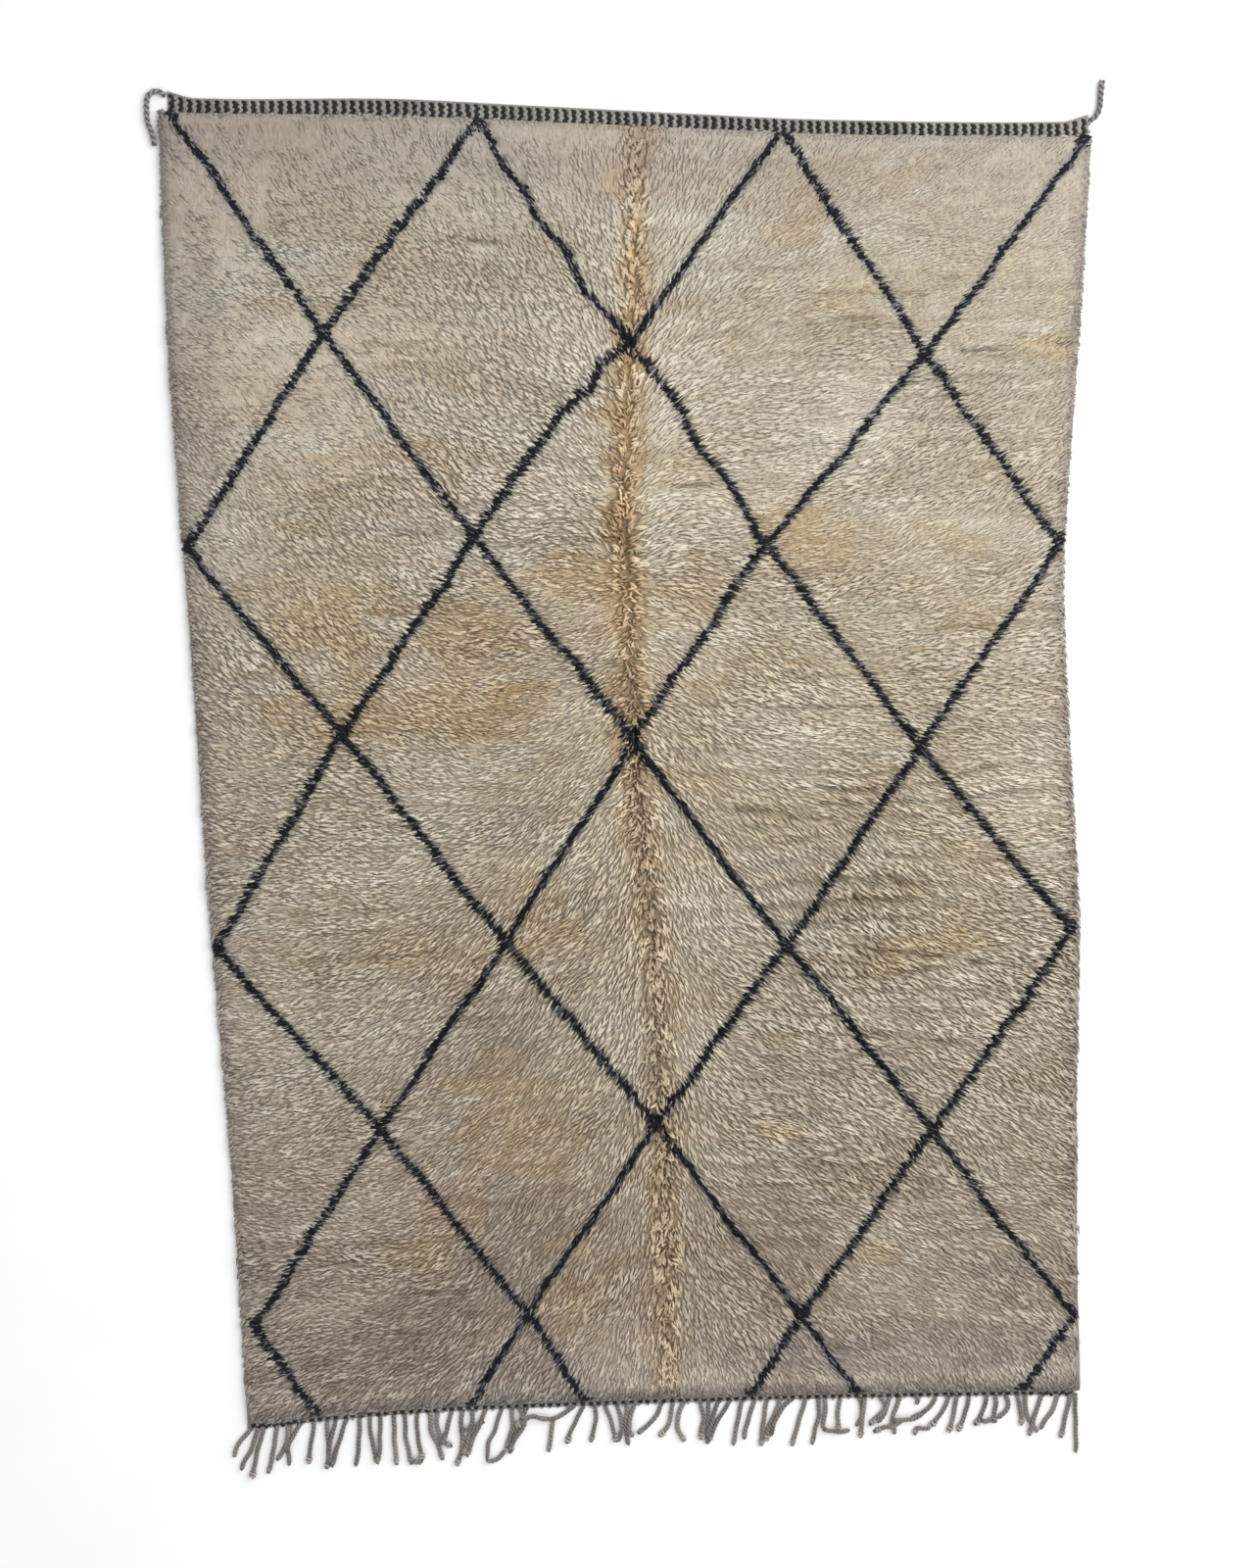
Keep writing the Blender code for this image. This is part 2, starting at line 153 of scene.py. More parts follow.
CREASES: Table = (  # (x, y at one end, x, y at the other, depth)
    (0.645, 1.010, 0.987, 1.030, 0.009),
    (0.368, 1.080, 0.545, 1.095, 0.006),
    (0.105, 1.051, 0.324, 1.080, 0.006),
    (0.559, -0.131, 0.825, -0.148, 0.008),
    (0.469, -0.342, 0.778, -0.389, 0.010),
    (0.199, -0.006, 0.449, -0.054, 0.009),
    (0.273, 0.219, 0.559, 0.216, 0.006),
    (0.078, 0.727, 0.149, 0.725, 0.009),
    (-0.559, 0.629, -0.408, 0.635, 0.008),
    (-0.373, 1.262, -0.311, 1.258, 0.007),
    (0.142, -1.066, 0.499, -1.073, 0.005),
    (0.522, -0.553, 0.763, -0.590, 0.007),
    (0.557, -0.175, 0.605, -0.206, 0.007),
    (-0.264, 0.185, -0.042, 0.168, 0.005),
    (0.681, 0.397, 0.954, 0.409, 0.004),
    (0.453, -0.188, 0.777, -0.209, 0.006),
)
CROSSINGS: tuple[Table, ...] = (  # where the black lines meet, row by row from the head
    ((-1.005, 1.542), (-0.342, 1.525), (0.322, 1.497), (1.005, 1.473)),
    ((-0.695, 1.071), (-0.018, 1.044), (0.647, 1.010)),
    ((-1.014, 0.606), (-0.378, 0.624), (0.285, 0.594), (0.960, 0.581)),
    ((-0.688, 0.189), (-0.026, 0.152), (0.639, 0.121)),
    ((-0.990, -0.302), (-0.332, -0.310), (0.327, -0.337), (1.001, -0.319)),
    ((-0.634, -0.737), (0.009, -0.756), (0.670, -0.797)),
    ((-0.942, -1.204), (-0.305, -1.206), (0.356, -1.240), (1.017, -1.272)),
)
FOOT_ENDS: Table = (  # (crossing of the last row that the line comes from, x, y)
    (0, -0.805, -1.432),
    (1, -0.443, -1.430),
    (1, -0.170, -1.430),
    (2, 0.228, -1.434),
    (2, 0.486, -1.440),
    (3, 0.894, -1.450),
)
STRANDS = (  # x, y at the root, twice on the way and at the end, in mm, then the size of the knot, 0 to 2
    (-958, -1461, -986, -1491, -1000, -1516, -1004, -1532, 0),
    (-945, -1463, -961, -1511, -980, -1543, -988, -1565, 1),
    (-929, -1462, -946, -1511, -957, -1555, -963, -1587, 2),
    (-899, -1464, -908, -1502, -916, -1543, -926, -1576, 1),
    (-867, -1456, -880, -1504, -896, -1533, -904, -1544, 1),
    (-873, -1460, -878, -1500, -876, -1537, -875, -1560, 0),
    (-844, -1454, -862, -1484, -873, -1500, -877, -1522, 0),
    (-812, -1453, -821, -1503, -827, -1533, -829, -1557, 2),
    (-783, -1451, -782, -1501, -782, -1542, -788, -1572, 2),
    (-762, -1451, -771, -1487, -780, -1520, -778, -1557, 0),
    (-736, -1452, -751, -1492, -763, -1528, -775, -1565, 1),
    (-705, -1452, -708, -1494, -713, -1539, -718, -1570, 0),
    (-682, -1453, -680, -1496, -673, -1533, -670, -1563, 1),
    (-656, -1454, -659, -1497, -661, -1534, -667, -1563, 1),
    (-624, -1452, -625, -1495, -624, -1536, -621, -1571, 1),
    (-598, -1452, -598, -1500, -592, -1541, -586, -1572, 1),
    (-570, -1449, -570, -1498, -565, -1532, -561, -1562, 2),
    (-539, -1447, -537, -1492, -521, -1530, -512, -1564, 1),
    (-521, -1448, -523, -1482, -511, -1514, -490, -1532, 2),
    (-488, -1448, -497, -1479, -505, -1505, -513, -1523, 0),
    (-561, -1562, -572, -1568, -581, -1561, -586, -1564, 1),
    (-462, -1447, -466, -1484, -464, -1526, -478, -1581, 2),
    (-438, -1452, -441, -1486, -453, -1519, -462, -1552, 1),
    (-406, -1450, -423, -1483, -439, -1516, -454, -1558, 2),
    (-369, -1452, -386, -1496, -402, -1529, -407, -1568, 0),
    (-412, -1469, -435, -1484, -456, -1489, -470, -1492, 0),
    (-344, -1452, -344, -1483, -351, -1517, -361, -1542, 1),
    (-309, -1455, -326, -1484, -339, -1514, -354, -1556, 2),
    (-325, -1455, -315, -1481, -345, -1528, -349, -1550, 1),
    (-194, -1443, -219, -1462, -248, -1475, -276, -1470, 0),
    (-262, -1473, -290, -1466, -313, -1470, -337, -1488, 2),
    (-407, -1569, -392, -1573, -377, -1566, -363, -1546, 0),
    (-248, -1477, -251, -1511, -256, -1537, -259, -1557, 1),
    (-173, -1440, -190, -1480, -205, -1509, -214, -1539, 2),
    (-145, -1436, -144, -1479, -150, -1512, -158, -1538, 1),
    (-122, -1439, -111, -1477, -101, -1515, -96, -1541, 2),
    (-92, -1440, -85, -1482, -82, -1512, -92, -1538, 0), (-70, -1441, -70, -1479, -72, -1513, -66, -1550, 1),
    (-51, -1442, -63, -1487, -65, -1513, -54, -1528, 1), (15, -1442, 4, -1475, -20, -1504, -45, -1522, 1),
    (41, -1453, 36, -1484, 26, -1512, 8, -1532, 2), (68, -1445, 54, -1483, 53, -1515, 68, -1548, 1),
    (107, -1443, 115, -1488, 109, -1522, 109, -1546, 2), (128, -1444, 127, -1489, 123, -1527, 123, -1557, 1),
    (151, -1445, 141, -1482, 130, -1512, 125, -1538, 0), (180, -1447, 156, -1489, 139, -1520, 127, -1549, 1),
    (209, -1446, 199, -1497, 192, -1534, 186, -1564, 1), (239, -1446, 226, -1494, 217, -1524, 214, -1550, 1),
    (269, -1444, 263, -1489, 257, -1534, 254, -1569, 2), (302, -1453, 287, -1494, 272, -1523, 268, -1557, 2),
    (330, -1453, 303, -1479, 285, -1512, 279, -1546, 0), (363, -1447, 352, -1493, 340, -1534, 330, -1573, 1),
    (395, -1446, 395, -1499, 386, -1536, 378, -1572, 1), (411, -1451, 410, -1500, 405, -1526, 413, -1542, 0),
    (447, -1442, 442, -1487, 442, -1517, 443, -1542, 1), (409, -1534, 431, -1540, 452, -1542, 470, -1541, 1),
    (492, -1444, 500, -1478, 499, -1508, 487, -1530, 1), (508, -1445, 503, -1482, 500, -1520, 497, -1561, 2),
    (541, -1446, 553, -1472, 559, -1496, 539, -1526, 0), (570, -1448, 559, -1485, 541, -1507, 519, -1530, 2),
    (595, -1453, 582, -1494, 575, -1524, 581, -1556, 1), (597, -1525, 572, -1535, 550, -1539, 530, -1548, 2),
    (629, -1447, 634, -1461, 638, -1474, 633, -1483, 0), (681, -1448, 676, -1478, 654, -1503, 620, -1517, 0),
    (649, -1505, 624, -1517, 598, -1519, 577, -1518, 0), (714, -1449, 708, -1485, 691, -1514, 669, -1542, 2),
    (665, -1544, 649, -1546, 636, -1544, 629, -1561, 2), (732, -1452, 729, -1494, 722, -1528, 715, -1559, 2),
    (762, -1452, 759, -1495, 748, -1529, 737, -1557, 2), (807, -1456, 803, -1490, 792, -1523, 776, -1544, 2),
    (793, -1531, 806, -1536, 816, -1532, 827, -1537, 1), (827, -1465, 831, -1491, 825, -1514, 827, -1537, 1),
    (853, -1458, 860, -1489, 855, -1510, 835, -1528, 0), (881, -1460, 887, -1494, 892, -1525, 893, -1550, 2),
    (903, -1461, 902, -1499, 912, -1537, 934, -1569, 1), (943, -1463, 936, -1497, 925, -1527, 912, -1577, 2),
    (984, -1473, 970, -1514, 954, -1538, 939, -1562, 0),
    (1014, -1474, 1006, -1516, 998, -1553, 992, -1587, 2),
    (1025, -1475, 1027, -1528, 1029, -1585, 1030, -1629, 0),
)
PARTING_WINDS = ((6, 0.040, 0.0055), (9, 0.016, 0.0035))  # (seed, length of a wind, how far it strays)
KINKS = {  # lines that stray more: row of the upper crossing, its place in the row, the lower one's place
    (0, 1, 1): (
        (-0.298, 1.438), (-0.250, 1.376), (-0.232, 1.324), (-0.155, 1.238), (-0.122, 1.164), (-0.073, 1.110),
    ),
    (1, 1, 2): (
        (0.049, 0.958), (0.094, 0.901), (0.113, 0.847), (0.143, 0.808),
        (0.172, 0.773), (0.206, 0.722), (0.261, 0.621),
    ),
    (1, 1, 1): ((-0.082, 0.998), (-0.111, 0.945), (-0.188, 0.882), (-0.233, 0.822)),
}


class Tone(Enum):
    """Colours of the wool, as linear red, green and blue; SHADE, and MAUVE where it is washed over the edges,
    the head and the foot, are painted shade.
    """

    CREAM = (0.568, 0.532, 0.442)
    PALE = (0.690, 0.675, 0.605)
    TAN = (0.540, 0.410, 0.262)
    OCHRE = (0.550, 0.440, 0.285)
    PEACH = (0.545, 0.440, 0.345)
    STRAW = (0.474, 0.424, 0.310)
    MAUVE = (0.368, 0.320, 0.292)
    UMBER = (0.322, 0.263, 0.220)
    SMOKE = (0.200, 0.190, 0.215)
    SHADE = (0.170, 0.150, 0.140)
    BLACK = (0.007, 0.007, 0.010)


PATCHES = (  # (middle x, y, reach across, reach along, tone, strength)
    (-0.36, -0.58, 0.15, 0.24, Tone.UMBER, 0.45), (-0.36, -1.05, 0.24, 0.34, Tone.UMBER, 0.66),
    (-0.58, -1.12, 0.32, 0.36, Tone.UMBER, 0.26), (-0.14, -1.12, 0.22, 0.20, Tone.UMBER, 0.30),
    (0.30, -1.10, 0.16, 0.24, Tone.UMBER, 0.40), (-0.70, -1.30, 0.30, 0.16, Tone.UMBER, 0.46),
    (0.64, 0.88, 0.46, 0.75, Tone.STRAW, 0.36), (0.62, 1.25, 0.50, 0.34, Tone.STRAW, 0.42),
    (-0.42, 1.40, 0.62, 0.26, Tone.STRAW, 0.38), (-0.70, 0.43, 0.17, 0.10, Tone.OCHRE, 0.75),
    (-0.50, 0.22, 0.30, 0.07, Tone.TAN, 0.75), (-0.39, 0.40, 0.13, 0.12, Tone.TAN, 0.65),
    (-0.29, -0.74, 0.19, 0.20, Tone.OCHRE, 0.60), (-0.48, -0.95, 0.16, 0.10, Tone.TAN, 0.45),
    (-0.16, -1.18, 0.12, 0.12, Tone.OCHRE, 0.55), (0.61, -0.36, 0.20, 0.05, Tone.OCHRE, 0.70),
    (-0.40, 0.77, 0.12, 0.07, Tone.TAN, 0.50), (-0.63, 0.78, 0.16, 0.10, Tone.TAN, 0.45),
    (-0.76, 1.40, 0.18, 0.08, Tone.PEACH, 0.60), (-0.95, 1.42, 0.10, 0.16, Tone.PEACH, 0.55),
    (-0.45, 1.20, 0.10, 0.06, Tone.PEACH, 0.55), (-0.60, 1.30, 0.10, 0.08, Tone.OCHRE, 0.35),
    (0.37, 1.32, 0.09, 0.10, Tone.TAN, 0.50), (0.56, 1.40, 0.12, 0.05, Tone.TAN, 0.45),
    (0.97, 1.03, 0.10, 0.03, Tone.TAN, 0.60), (0.45, 1.12, 0.20, 0.05, Tone.TAN, 0.40),
    (0.37, 0.60, 0.10, 0.07, Tone.TAN, 0.65), (0.70, 0.60, 0.08, 0.06, Tone.OCHRE, 0.40),
    (-0.18, 0.55, 0.10, 0.07, Tone.TAN, 0.60), (0.13, 0.48, 0.10, 0.09, Tone.TAN, 0.45),
    (-0.25, -0.29, 0.10, 0.08, Tone.OCHRE, 0.55), (-0.33, -0.16, 0.14, 0.07, Tone.TAN, 0.50),
    (-0.45, -0.35, 0.20, 0.08, Tone.TAN, 0.35), (0.31, -0.78, 0.05, 0.03, Tone.OCHRE, 0.60),
    (0.55, -1.09, 0.06, 0.04, Tone.OCHRE, 0.60), (-0.54, -1.05, 0.12, 0.05, Tone.OCHRE, 0.55),
    (-0.27, 0.72, 0.13, 0.14, Tone.PALE, 0.55), (-0.05, -0.54, 0.22, 0.14, Tone.PALE, 0.45),
    (-0.47, 0.00, 0.16, 0.10, Tone.PALE, 0.45), (0.30, 0.20, 0.16, 0.12, Tone.PALE, 0.55),
    (0.45, 0.85, 0.20, 0.12, Tone.PALE, 0.45), (0.15, -0.22, 0.12, 0.10, Tone.PALE, 0.35),
    (0.90, 0.03, 0.12, 0.20, Tone.PALE, 0.35), (-0.69, -1.25, 0.25, 0.10, Tone.MAUVE, 0.55),
    (-0.90, -1.05, 0.10, 0.30, Tone.MAUVE, 0.40), (0.62, -1.34, 0.40, 0.07, Tone.MAUVE, 0.65),
    (0.80, -1.15, 0.20, 0.08, Tone.MAUVE, 0.40), (-0.97, 1.00, 0.05, 0.35, Tone.MAUVE, 0.35),
    (0.35, -0.62, 0.25, 0.05, Tone.MAUVE, 0.35), (-0.10, -0.95, 0.20, 0.05, Tone.MAUVE, 0.30),
    (-0.45, -0.90, 0.25, 0.04, Tone.MAUVE, 0.30),
)


# ---------------------------------------------------------------------------------------------
# Reading tables and lines, smooth random rise and fall, and meshes from arrays.


def read_table(table: Table, at: Any, column: int = 1) -> Array:
    """Reads a column of a table at any place, on a smooth line through its rows.

    Args:
        table: Rows whose first number is a place, in rising order.
        at: One place or many.
        column: Which number of each row is read.

    Returns:
        The value at each place.
    """
    rows = np.array(table, float)
    places, values = rows[:, 0], rows[:, column]
    at = np.clip(np.asarray(at, float), places[0], places[-1])
    i = np.clip(np.searchsorted(places, at, side="right") - 1, 0, len(places) - 2)
    order = np.arange(len(places))
    low, high = np.maximum(order - 1, 0), np.minimum(order + 1, len(places) - 1)
    slopes = (values[high] - values[low]) / (places[high] - places[low])
    span = places[i + 1] - places[i]
    t = (at - places[i]) / span
    start = (2 * t**3 - 3 * t**2 + 1) * values[i] + (t**3 - 2 * t**2 + t) * span * slopes[i]
    end = (3 * t**2 - 2 * t**3) * values[i + 1] + (t**3 - t**2) * span * slopes[i + 1]
    return start + end


def read_grid(columns: tuple[float, ...], rows: Table, across: Array, along: Array) -> Array:
    """Reads a table that has a column for each place across and a row for each place along.

    Args:
        columns: Places of the columns, in rising order.
        rows: Rows whose first number is a place along, in rising order.
        across: Places across.
        along: Places along.

    Returns:
        The value at each place.
    """
    places = np.array(columns)
    at = np.clip(across, places[0], places[-1])
    i = np.clip(np.searchsorted(places, at, side="right") - 1, 0, len(places) - 2)
    share = (at - places[i]) / (places[i + 1] - places[i])
    values = np.stack([read_table(rows, along, c + 1) for c in range(len(places))])
    pick = np.arange(len(at))
    return values[i, pick] * (1 - share) + values[i + 1, pick] * share


def smooth_step(value: Array) -> Array:
    """Smooth step from 0 at 0 to 1 at 1."""
    value = np.clip(value, 0.0, 1.0)
    return value * value * (3 - 2 * value)


def fade(away: Array, reach: float) -> Array:
    """How near places are to a line or an edge, from 0 at its reach to 1 on it."""
    return smooth_step(1 - away / reach)


def from_patch(x: Array, y: Array, patch: tuple) -> Array:
    """Distance of places from a patch's middle, as a share of the patch's reach."""
    return np.hypot((x - patch[0]) / patch[2], (y - patch[1]) / patch[3])


def blend(tone: Array, other: Tone, share: Array) -> Array:
    """Mixes a tone into rows of colour, by one share for each row."""
    return tone + (np.array(other.value) - tone) * share[:, None]


def unit(rows: Array) -> Array:
    """Rows of length 1 that point the same way."""
    return rows / np.maximum(np.linalg.norm(rows, axis=1, keepdims=True), SMALL)


def at_height(places: Array, height: float) -> Array:
    """Gives places on the floor a height."""
    return np.column_stack([places, np.full(len(places), height)])


def travel(line: Array) -> Array:
    """Distance travelled along a line, at each of its points."""
    return np.concatenate([[0], np.cumsum(np.linalg.norm(np.diff(line, axis=0), axis=1))])


def along_line(line: Array, marks: Array) -> Array:
    """Places on a line, at distances along it."""
    travelled = travel(line)
    return np.stack([np.interp(marks, travelled, column) for column in line.T], axis=1)


def even_marks(line: Array, step: float, fewest: int = 1) -> Array:
    """Evenly spaced distances along a line, from its start to its end."""
    length = travel(line)[-1]
    return np.linspace(0, length, max(round(length / step), fewest) + 1)


def smooth_route(route: Array, divisions: int) -> Array:
    """Draws a smooth line through a few places.

    Args:
        route: The places, one x and y each.
        divisions: Points between two neighbouring places.

    Returns:
        Points of the line.
    """
    knots = np.concatenate([[2 * route[0] - route[1]], route, [2 * route[-1] - route[-2]]])
    fine = []
    for a, b, c, d in zip(knots, knots[1:], knots[2:], knots[3:]):
        for t in np.arange(divisions) / divisions:
            bend = (2 * a - 5 * b + 4 * c - d) * t**2 + (3 * b - a - 3 * c + d) * t**3
            fine.append((2 * b + (c - a) * t + bend) / 2)
    return np.array(fine + [route[-1]])


@dataclass(frozen=True)
class Wander:
    """Smooth random rise and fall over the rug, from -1 to 1."""

    seed: int
    across: float  # size of one rise across the rug, in metres
    along: float  # size of one rise along the rug
    cells: int = 97

    def at(self, x: Array, y: Array) -> Array:
        """Gives the height of the rise and fall at places of the rug.

        Args:
            x: Places across the rug.
            y: Places along the rug.

        Returns:
            A number from -1 to 1 for each place.
        """
        heights = np.random.default_rng(self.seed).uniform(-1, 1, (self.cells, self.cells))
        u, v = x / self.across + self.cells / 2, y / self.along + self.cells / 2
        i, j = np.floor(u).astype(int), np.floor(v).astype(int)
        s, t = smooth_step(u - i), smooth_step(v - j)

        def corner(a: int, b: int) -> Array:
            """Height at one corner of each place's cell."""
            return heights[(i + a) % self.cells, (j + b) % self.cells]

        low = corner(0, 0) * (1 - s) + corner(1, 0) * s
        high = corner(0, 1) * (1 - s) + corner(1, 1) * s
        return low * (1 - t) + high * t


@dataclass(frozen=True)
class Form:
    """Points and triangles of a closed form, or of many joined forms."""

    points: Array
    triangles: Array  # one row of three point numbers for each triangle

    @staticmethod
    def of(piece: Piece) -> "Form":
        """Takes the form of a piece and removes the piece.

        Args:
            piece: A mesh object, unturned and unscaled.

        Returns:
            Its points and triangles.
        """
        mesh = piece.data
        mesh.calc_loop_triangles()
        points = np.array([v.co[:] for v in mesh.vertices])
        triangles = np.array([t.vertices[:] for t in mesh.loop_triangles])
        bpy.data.objects.remove(piece)
        return Form(points, triangles)

    def crowd(self, places: Array) -> "Form":
        """Joins copies of the form whose points have been placed.

        Args:
            places: For each copy, the places of all its points.

        Returns:
            One form of all the copies.
        """
        count, size = places.shape[0], places.shape[1]
        steps = (np.arange(count) * size)[:, None, None]
        return Form(places.reshape(-1, 3), (self.triangles[None] + steps).reshape(-1, 3))

    def stamp(self, centres: Array, axes: Array) -> "Form":
        """Joins straight copies of the form."""
        return self.crowd(np.einsum("pk,nkc->npc", self.points, axes) + centres[:, None])


def join(forms: list[Form]) -> Form:
    """Joins several forms into one.

    Args:
        forms: The forms.

    Returns:
        One form of all their points and triangles.
    """
    shift, triangles = 0, []
    for form in forms:
        triangles.append(form.triangles + shift)
        shift += len(form.points)
    return Form(np.concatenate([f.points for f in forms]), np.concatenate(triangles))


def make_piece(name: str, form: Form) -> Piece:
    """Makes an object of a form, at the origin, unturned and unscaled, and shaded smooth.

    Args:
        name: The piece's name.
        form: Its points and triangles.

    Returns:
        The new object.
    """
    mesh = bpy.data.meshes.new(name)
    mesh.vertices.add(len(form.points))
    mesh.vertices.foreach_set("co", form.points.astype(np.float32).ravel())
    mesh.loops.add(form.triangles.size)
    mesh.loops.foreach_set("vertex_index", form.triangles.astype(np.int32).ravel())
    mesh.polygons.add(len(form.triangles))
    mesh.polygons.foreach_set("loop_start", np.arange(0, form.triangles.size, 3, dtype=np.int32))
    mesh.polygons.foreach_set("use_smooth", np.full(len(form.triangles), True))
    mesh.update(calc_edges=True)
    piece = bpy.data.objects.new(name, mesh)
    bpy.context.scene.collection.objects.link(piece)
    return piece


def add_grid(name: str, across: int, along: int) -> tuple[Piece, Array, Array]:
    """Adds a flat grid, as the start of a cloth.

    Args:
        name: The cloth's name.
        across: Faces across.
        along: Faces along.

    Returns:
        The grid, and for each point its share of the way across and of the way along.
    """
    bpy.ops.object.select_all(action="DESELECT")
    bpy.ops.mesh.primitive_grid_add(x_subdivisions=across, y_subdivisions=along, size=2.0)
    grid = bpy.context.object
    grid.name = grid.data.name = name
    flat = np.empty(len(grid.data.vertices) * 3, np.float32)
    grid.data.vertices.foreach_get("co", flat)
    u, v = (flat.reshape(-1, 3)[:, :2].T + 1) / 2
    return grid, u, v


def move_points(piece: Piece, x: Array, y: Array, z: Any) -> None:
    """Moves all the points of a piece.

    Args:
        piece: The piece.
        x: New place of each point across the rug.
        y: New place along the rug.
        z: New height, one or one for each point.
    """
    places = np.stack([x, y, np.broadcast_to(z, len(x))], axis=1)
    piece.data.vertices.foreach_set("co", places.astype(np.float32).ravel())
    piece.data.update()


def thicken(cloth: Piece, thickness: float) -> None:
    """Gives a flat cloth its thickness, downwards from its upper side.

    Args:
        cloth: The cloth.
        thickness: How thick it becomes.
    """
    thick = cloth.modifiers.new("thickness", "SOLIDIFY")
    thick.thickness = thickness
    thick.offset = -1.0
    bpy.ops.object.modifier_apply(modifier=thick.name)


def paint(piece: Piece, name: str, values: Array) -> None:
    """Stores a number or a colour at each point of a piece.

    Args:
        piece: A mesh object.
        name: The attribute's name.
        values: One number, or one row of red, green and blue, for each point.
    """
    attributes = piece.data.attributes
    if values.ndim == 1:
        attributes.new(name, "FLOAT", "POINT").data.foreach_set("value", values.astype(np.float32))
        return
    colours = np.concatenate([values, np.ones((len(values), 1))], axis=1).astype(np.float32)
    attributes.new(name, "FLOAT_COLOR", "POINT").data.foreach_set("color", colours.ravel())


def lay_map(piece: Piece, name: str, values: Array) -> None:
    """Gives a piece a UV map.

    Args:
        piece: A mesh object.
        name: The map's name.
        values: One pair of numbers for each point.
    """
    loops = np.empty(len(piece.data.loops), np.int32)
    piece.data.loops.foreach_get("vertex_index", loops)
    layer = piece.data.uv_layers.new(name=name)
    layer.uv.foreach_set("vector", values[loops].astype(np.float32).ravel())


def dress(piece: Piece, material: Material, slot: str, *nodes: str) -> None:
    """Gives a piece its finish and ties it to the frame.

    Args:
        piece: The finished piece.
        material: Its finish.
        slot: A material slot's name; not used.
        nodes: Solids of the frame that the piece stands for.
    """
    piece.data.materials.clear()
    piece.data.materials.append(material)
    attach(piece, ROOT)
    if nodes:
        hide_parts(*nodes)
    LOG.info("%s: %d triangles", piece.name, len(piece.data.loops) - 2 * len(piece.data.polygons))


# ---------------------------------------------------------------------------------------------
# Finishes.


class Number:
    """A number that a material works out, with Python's own operators."""

    def __init__(self, shader: "Shader", socket: Socket) -> None:
        """Wraps one output socket of a shader's tree."""
        self.shader, self.socket = shader, socket

    def __add__(self, other: "Number | float") -> "Number":
        """Sum."""
        return self.shader.number("ADD", self, other)

    def __mul__(self, other: "Number | float") -> "Number":
        """Product."""
        return self.shader.number("MULTIPLY", self, other)

    __radd__ = __add__
    __rmul__ = __mul__


class Shader:
    """A material and the nodes that are added to it."""

    def __init__(self, name: str) -> None:
        """Starts a material with no nodes."""
        self.material = bpy.data.materials.new(name)
        self.material.use_nodes = True
        self.tree = self.material.node_tree
        self.tree.nodes.clear()

    def node(self, kind: str, settings: dict[str, Any], inputs: dict[int | str, Any]) -> bpy.types.Node:
        """Adds a node.

        Args:
            kind: Its type, without the usual first word.
            settings: Its own settings, set first.
            inputs: Value or link of each socket, by name or place.

        Returns:
            The node.
        """
        node = self.tree.nodes.new("ShaderNode" + kind)
        for name, value in settings.items():
            setattr(node, name, value)
        for name, value in inputs.items():
            value = value.socket if isinstance(value, Number) else value
            if isinstance(value, Socket):
                self.tree.links.new(value, node.inputs[name])
            else:
                node.inputs[name].default_value = value
        return node

    def number(self, operation: str, *terms: "Number | float") -> Number:
        """Adds a Math node and gives its result."""
        node = self.node("Math", {"operation": operation}, dict(enumerate(terms)))
        return Number(self, node.outputs[0])

    def smooth(self, value: Number, low: float, high: float) -> Number:
        """A smooth step from 0 at low to 1 at high."""
        inputs = {"Value": value, "From Min": low, "From Max": high}
        return Number(self, self.node("MapRange", {"interpolation_type": "SMOOTHSTEP"}, inputs).outputs[0])

    def place(self) -> Socket:
        """Place on the piece, in metres."""
        return self.node("TexCoord", {}, {}).outputs["Object"]

    def chart(self, name: str) -> Socket:
        """The piece's own UV map."""
        return self.node("UVMap", {"uv_map": name}, {}).outputs[0]

    def stored(self, name: str) -> bpy.types.Node:
        """A stored attribute of the piece."""
        return self.node("Attribute", {"attribute_name": name}, {})

    def stretch(self, vector: Socket, scale: Triple) -> Socket:
        """A vector multiplied by three numbers."""
        return self.node("VectorMath", {"operation": "MULTIPLY"}, {0: vector, 1: scale}).outputs[0]

    def noise(self, vector: Socket, scale: float, detail: float = 2.0) -> Number:
        """Smooth noise from 0 to 1."""
        node = self.node("TexNoise", {}, {"Vector": vector, "Scale": scale, "Detail": detail})
        return Number(self, node.outputs["Fac"])

    def mix(self, blending: str, share: Any, first: Any, second: Any) -> Socket:
        """Mixes two colours."""
        settings = {"data_type": "RGBA", "blend_type": blending}
        return self.node("Mix", settings, {0: share, 6: first, 7: second}).outputs[2]

    def close(
        self,
        base: Any,
        roughness: Any,
        height: Number | None = None,
        depth: float = 0.001,
        strength: float = 0.6,
        **constants: float,
    ) -> Material:
        """Ends the material with its shader.

        Args:
            base: Base colour.
            roughness: Roughness.
            height: Height of its relief, from 0 to 1.
            depth: Depth of the relief in metres.
            strength: How strongly the relief shows.
            constants: Values of the shader's other sockets, with _ for a blank in a name.

        Returns:
            The material.
        """
        inputs: dict[int | str, Any] = {"Base Color": base, "Roughness": roughness}
        inputs.update({name.replace("_", " "): value for name, value in constants.items()})
        if height is not None:
            bump = self.node("Bump", {}, {"Strength": strength, "Distance": depth, "Height": height})
            inputs["Normal"] = bump.outputs[0]
        surface = self.node("BsdfPrincipled", {}, inputs)
        self.node("OutputMaterial", {}, {"Surface": surface.outputs[0]})
        return self.material


def colour(tone: Triple) -> tuple[float, float, float, float]:
    """A colour with full opacity."""
    return (*tone, 1.0)


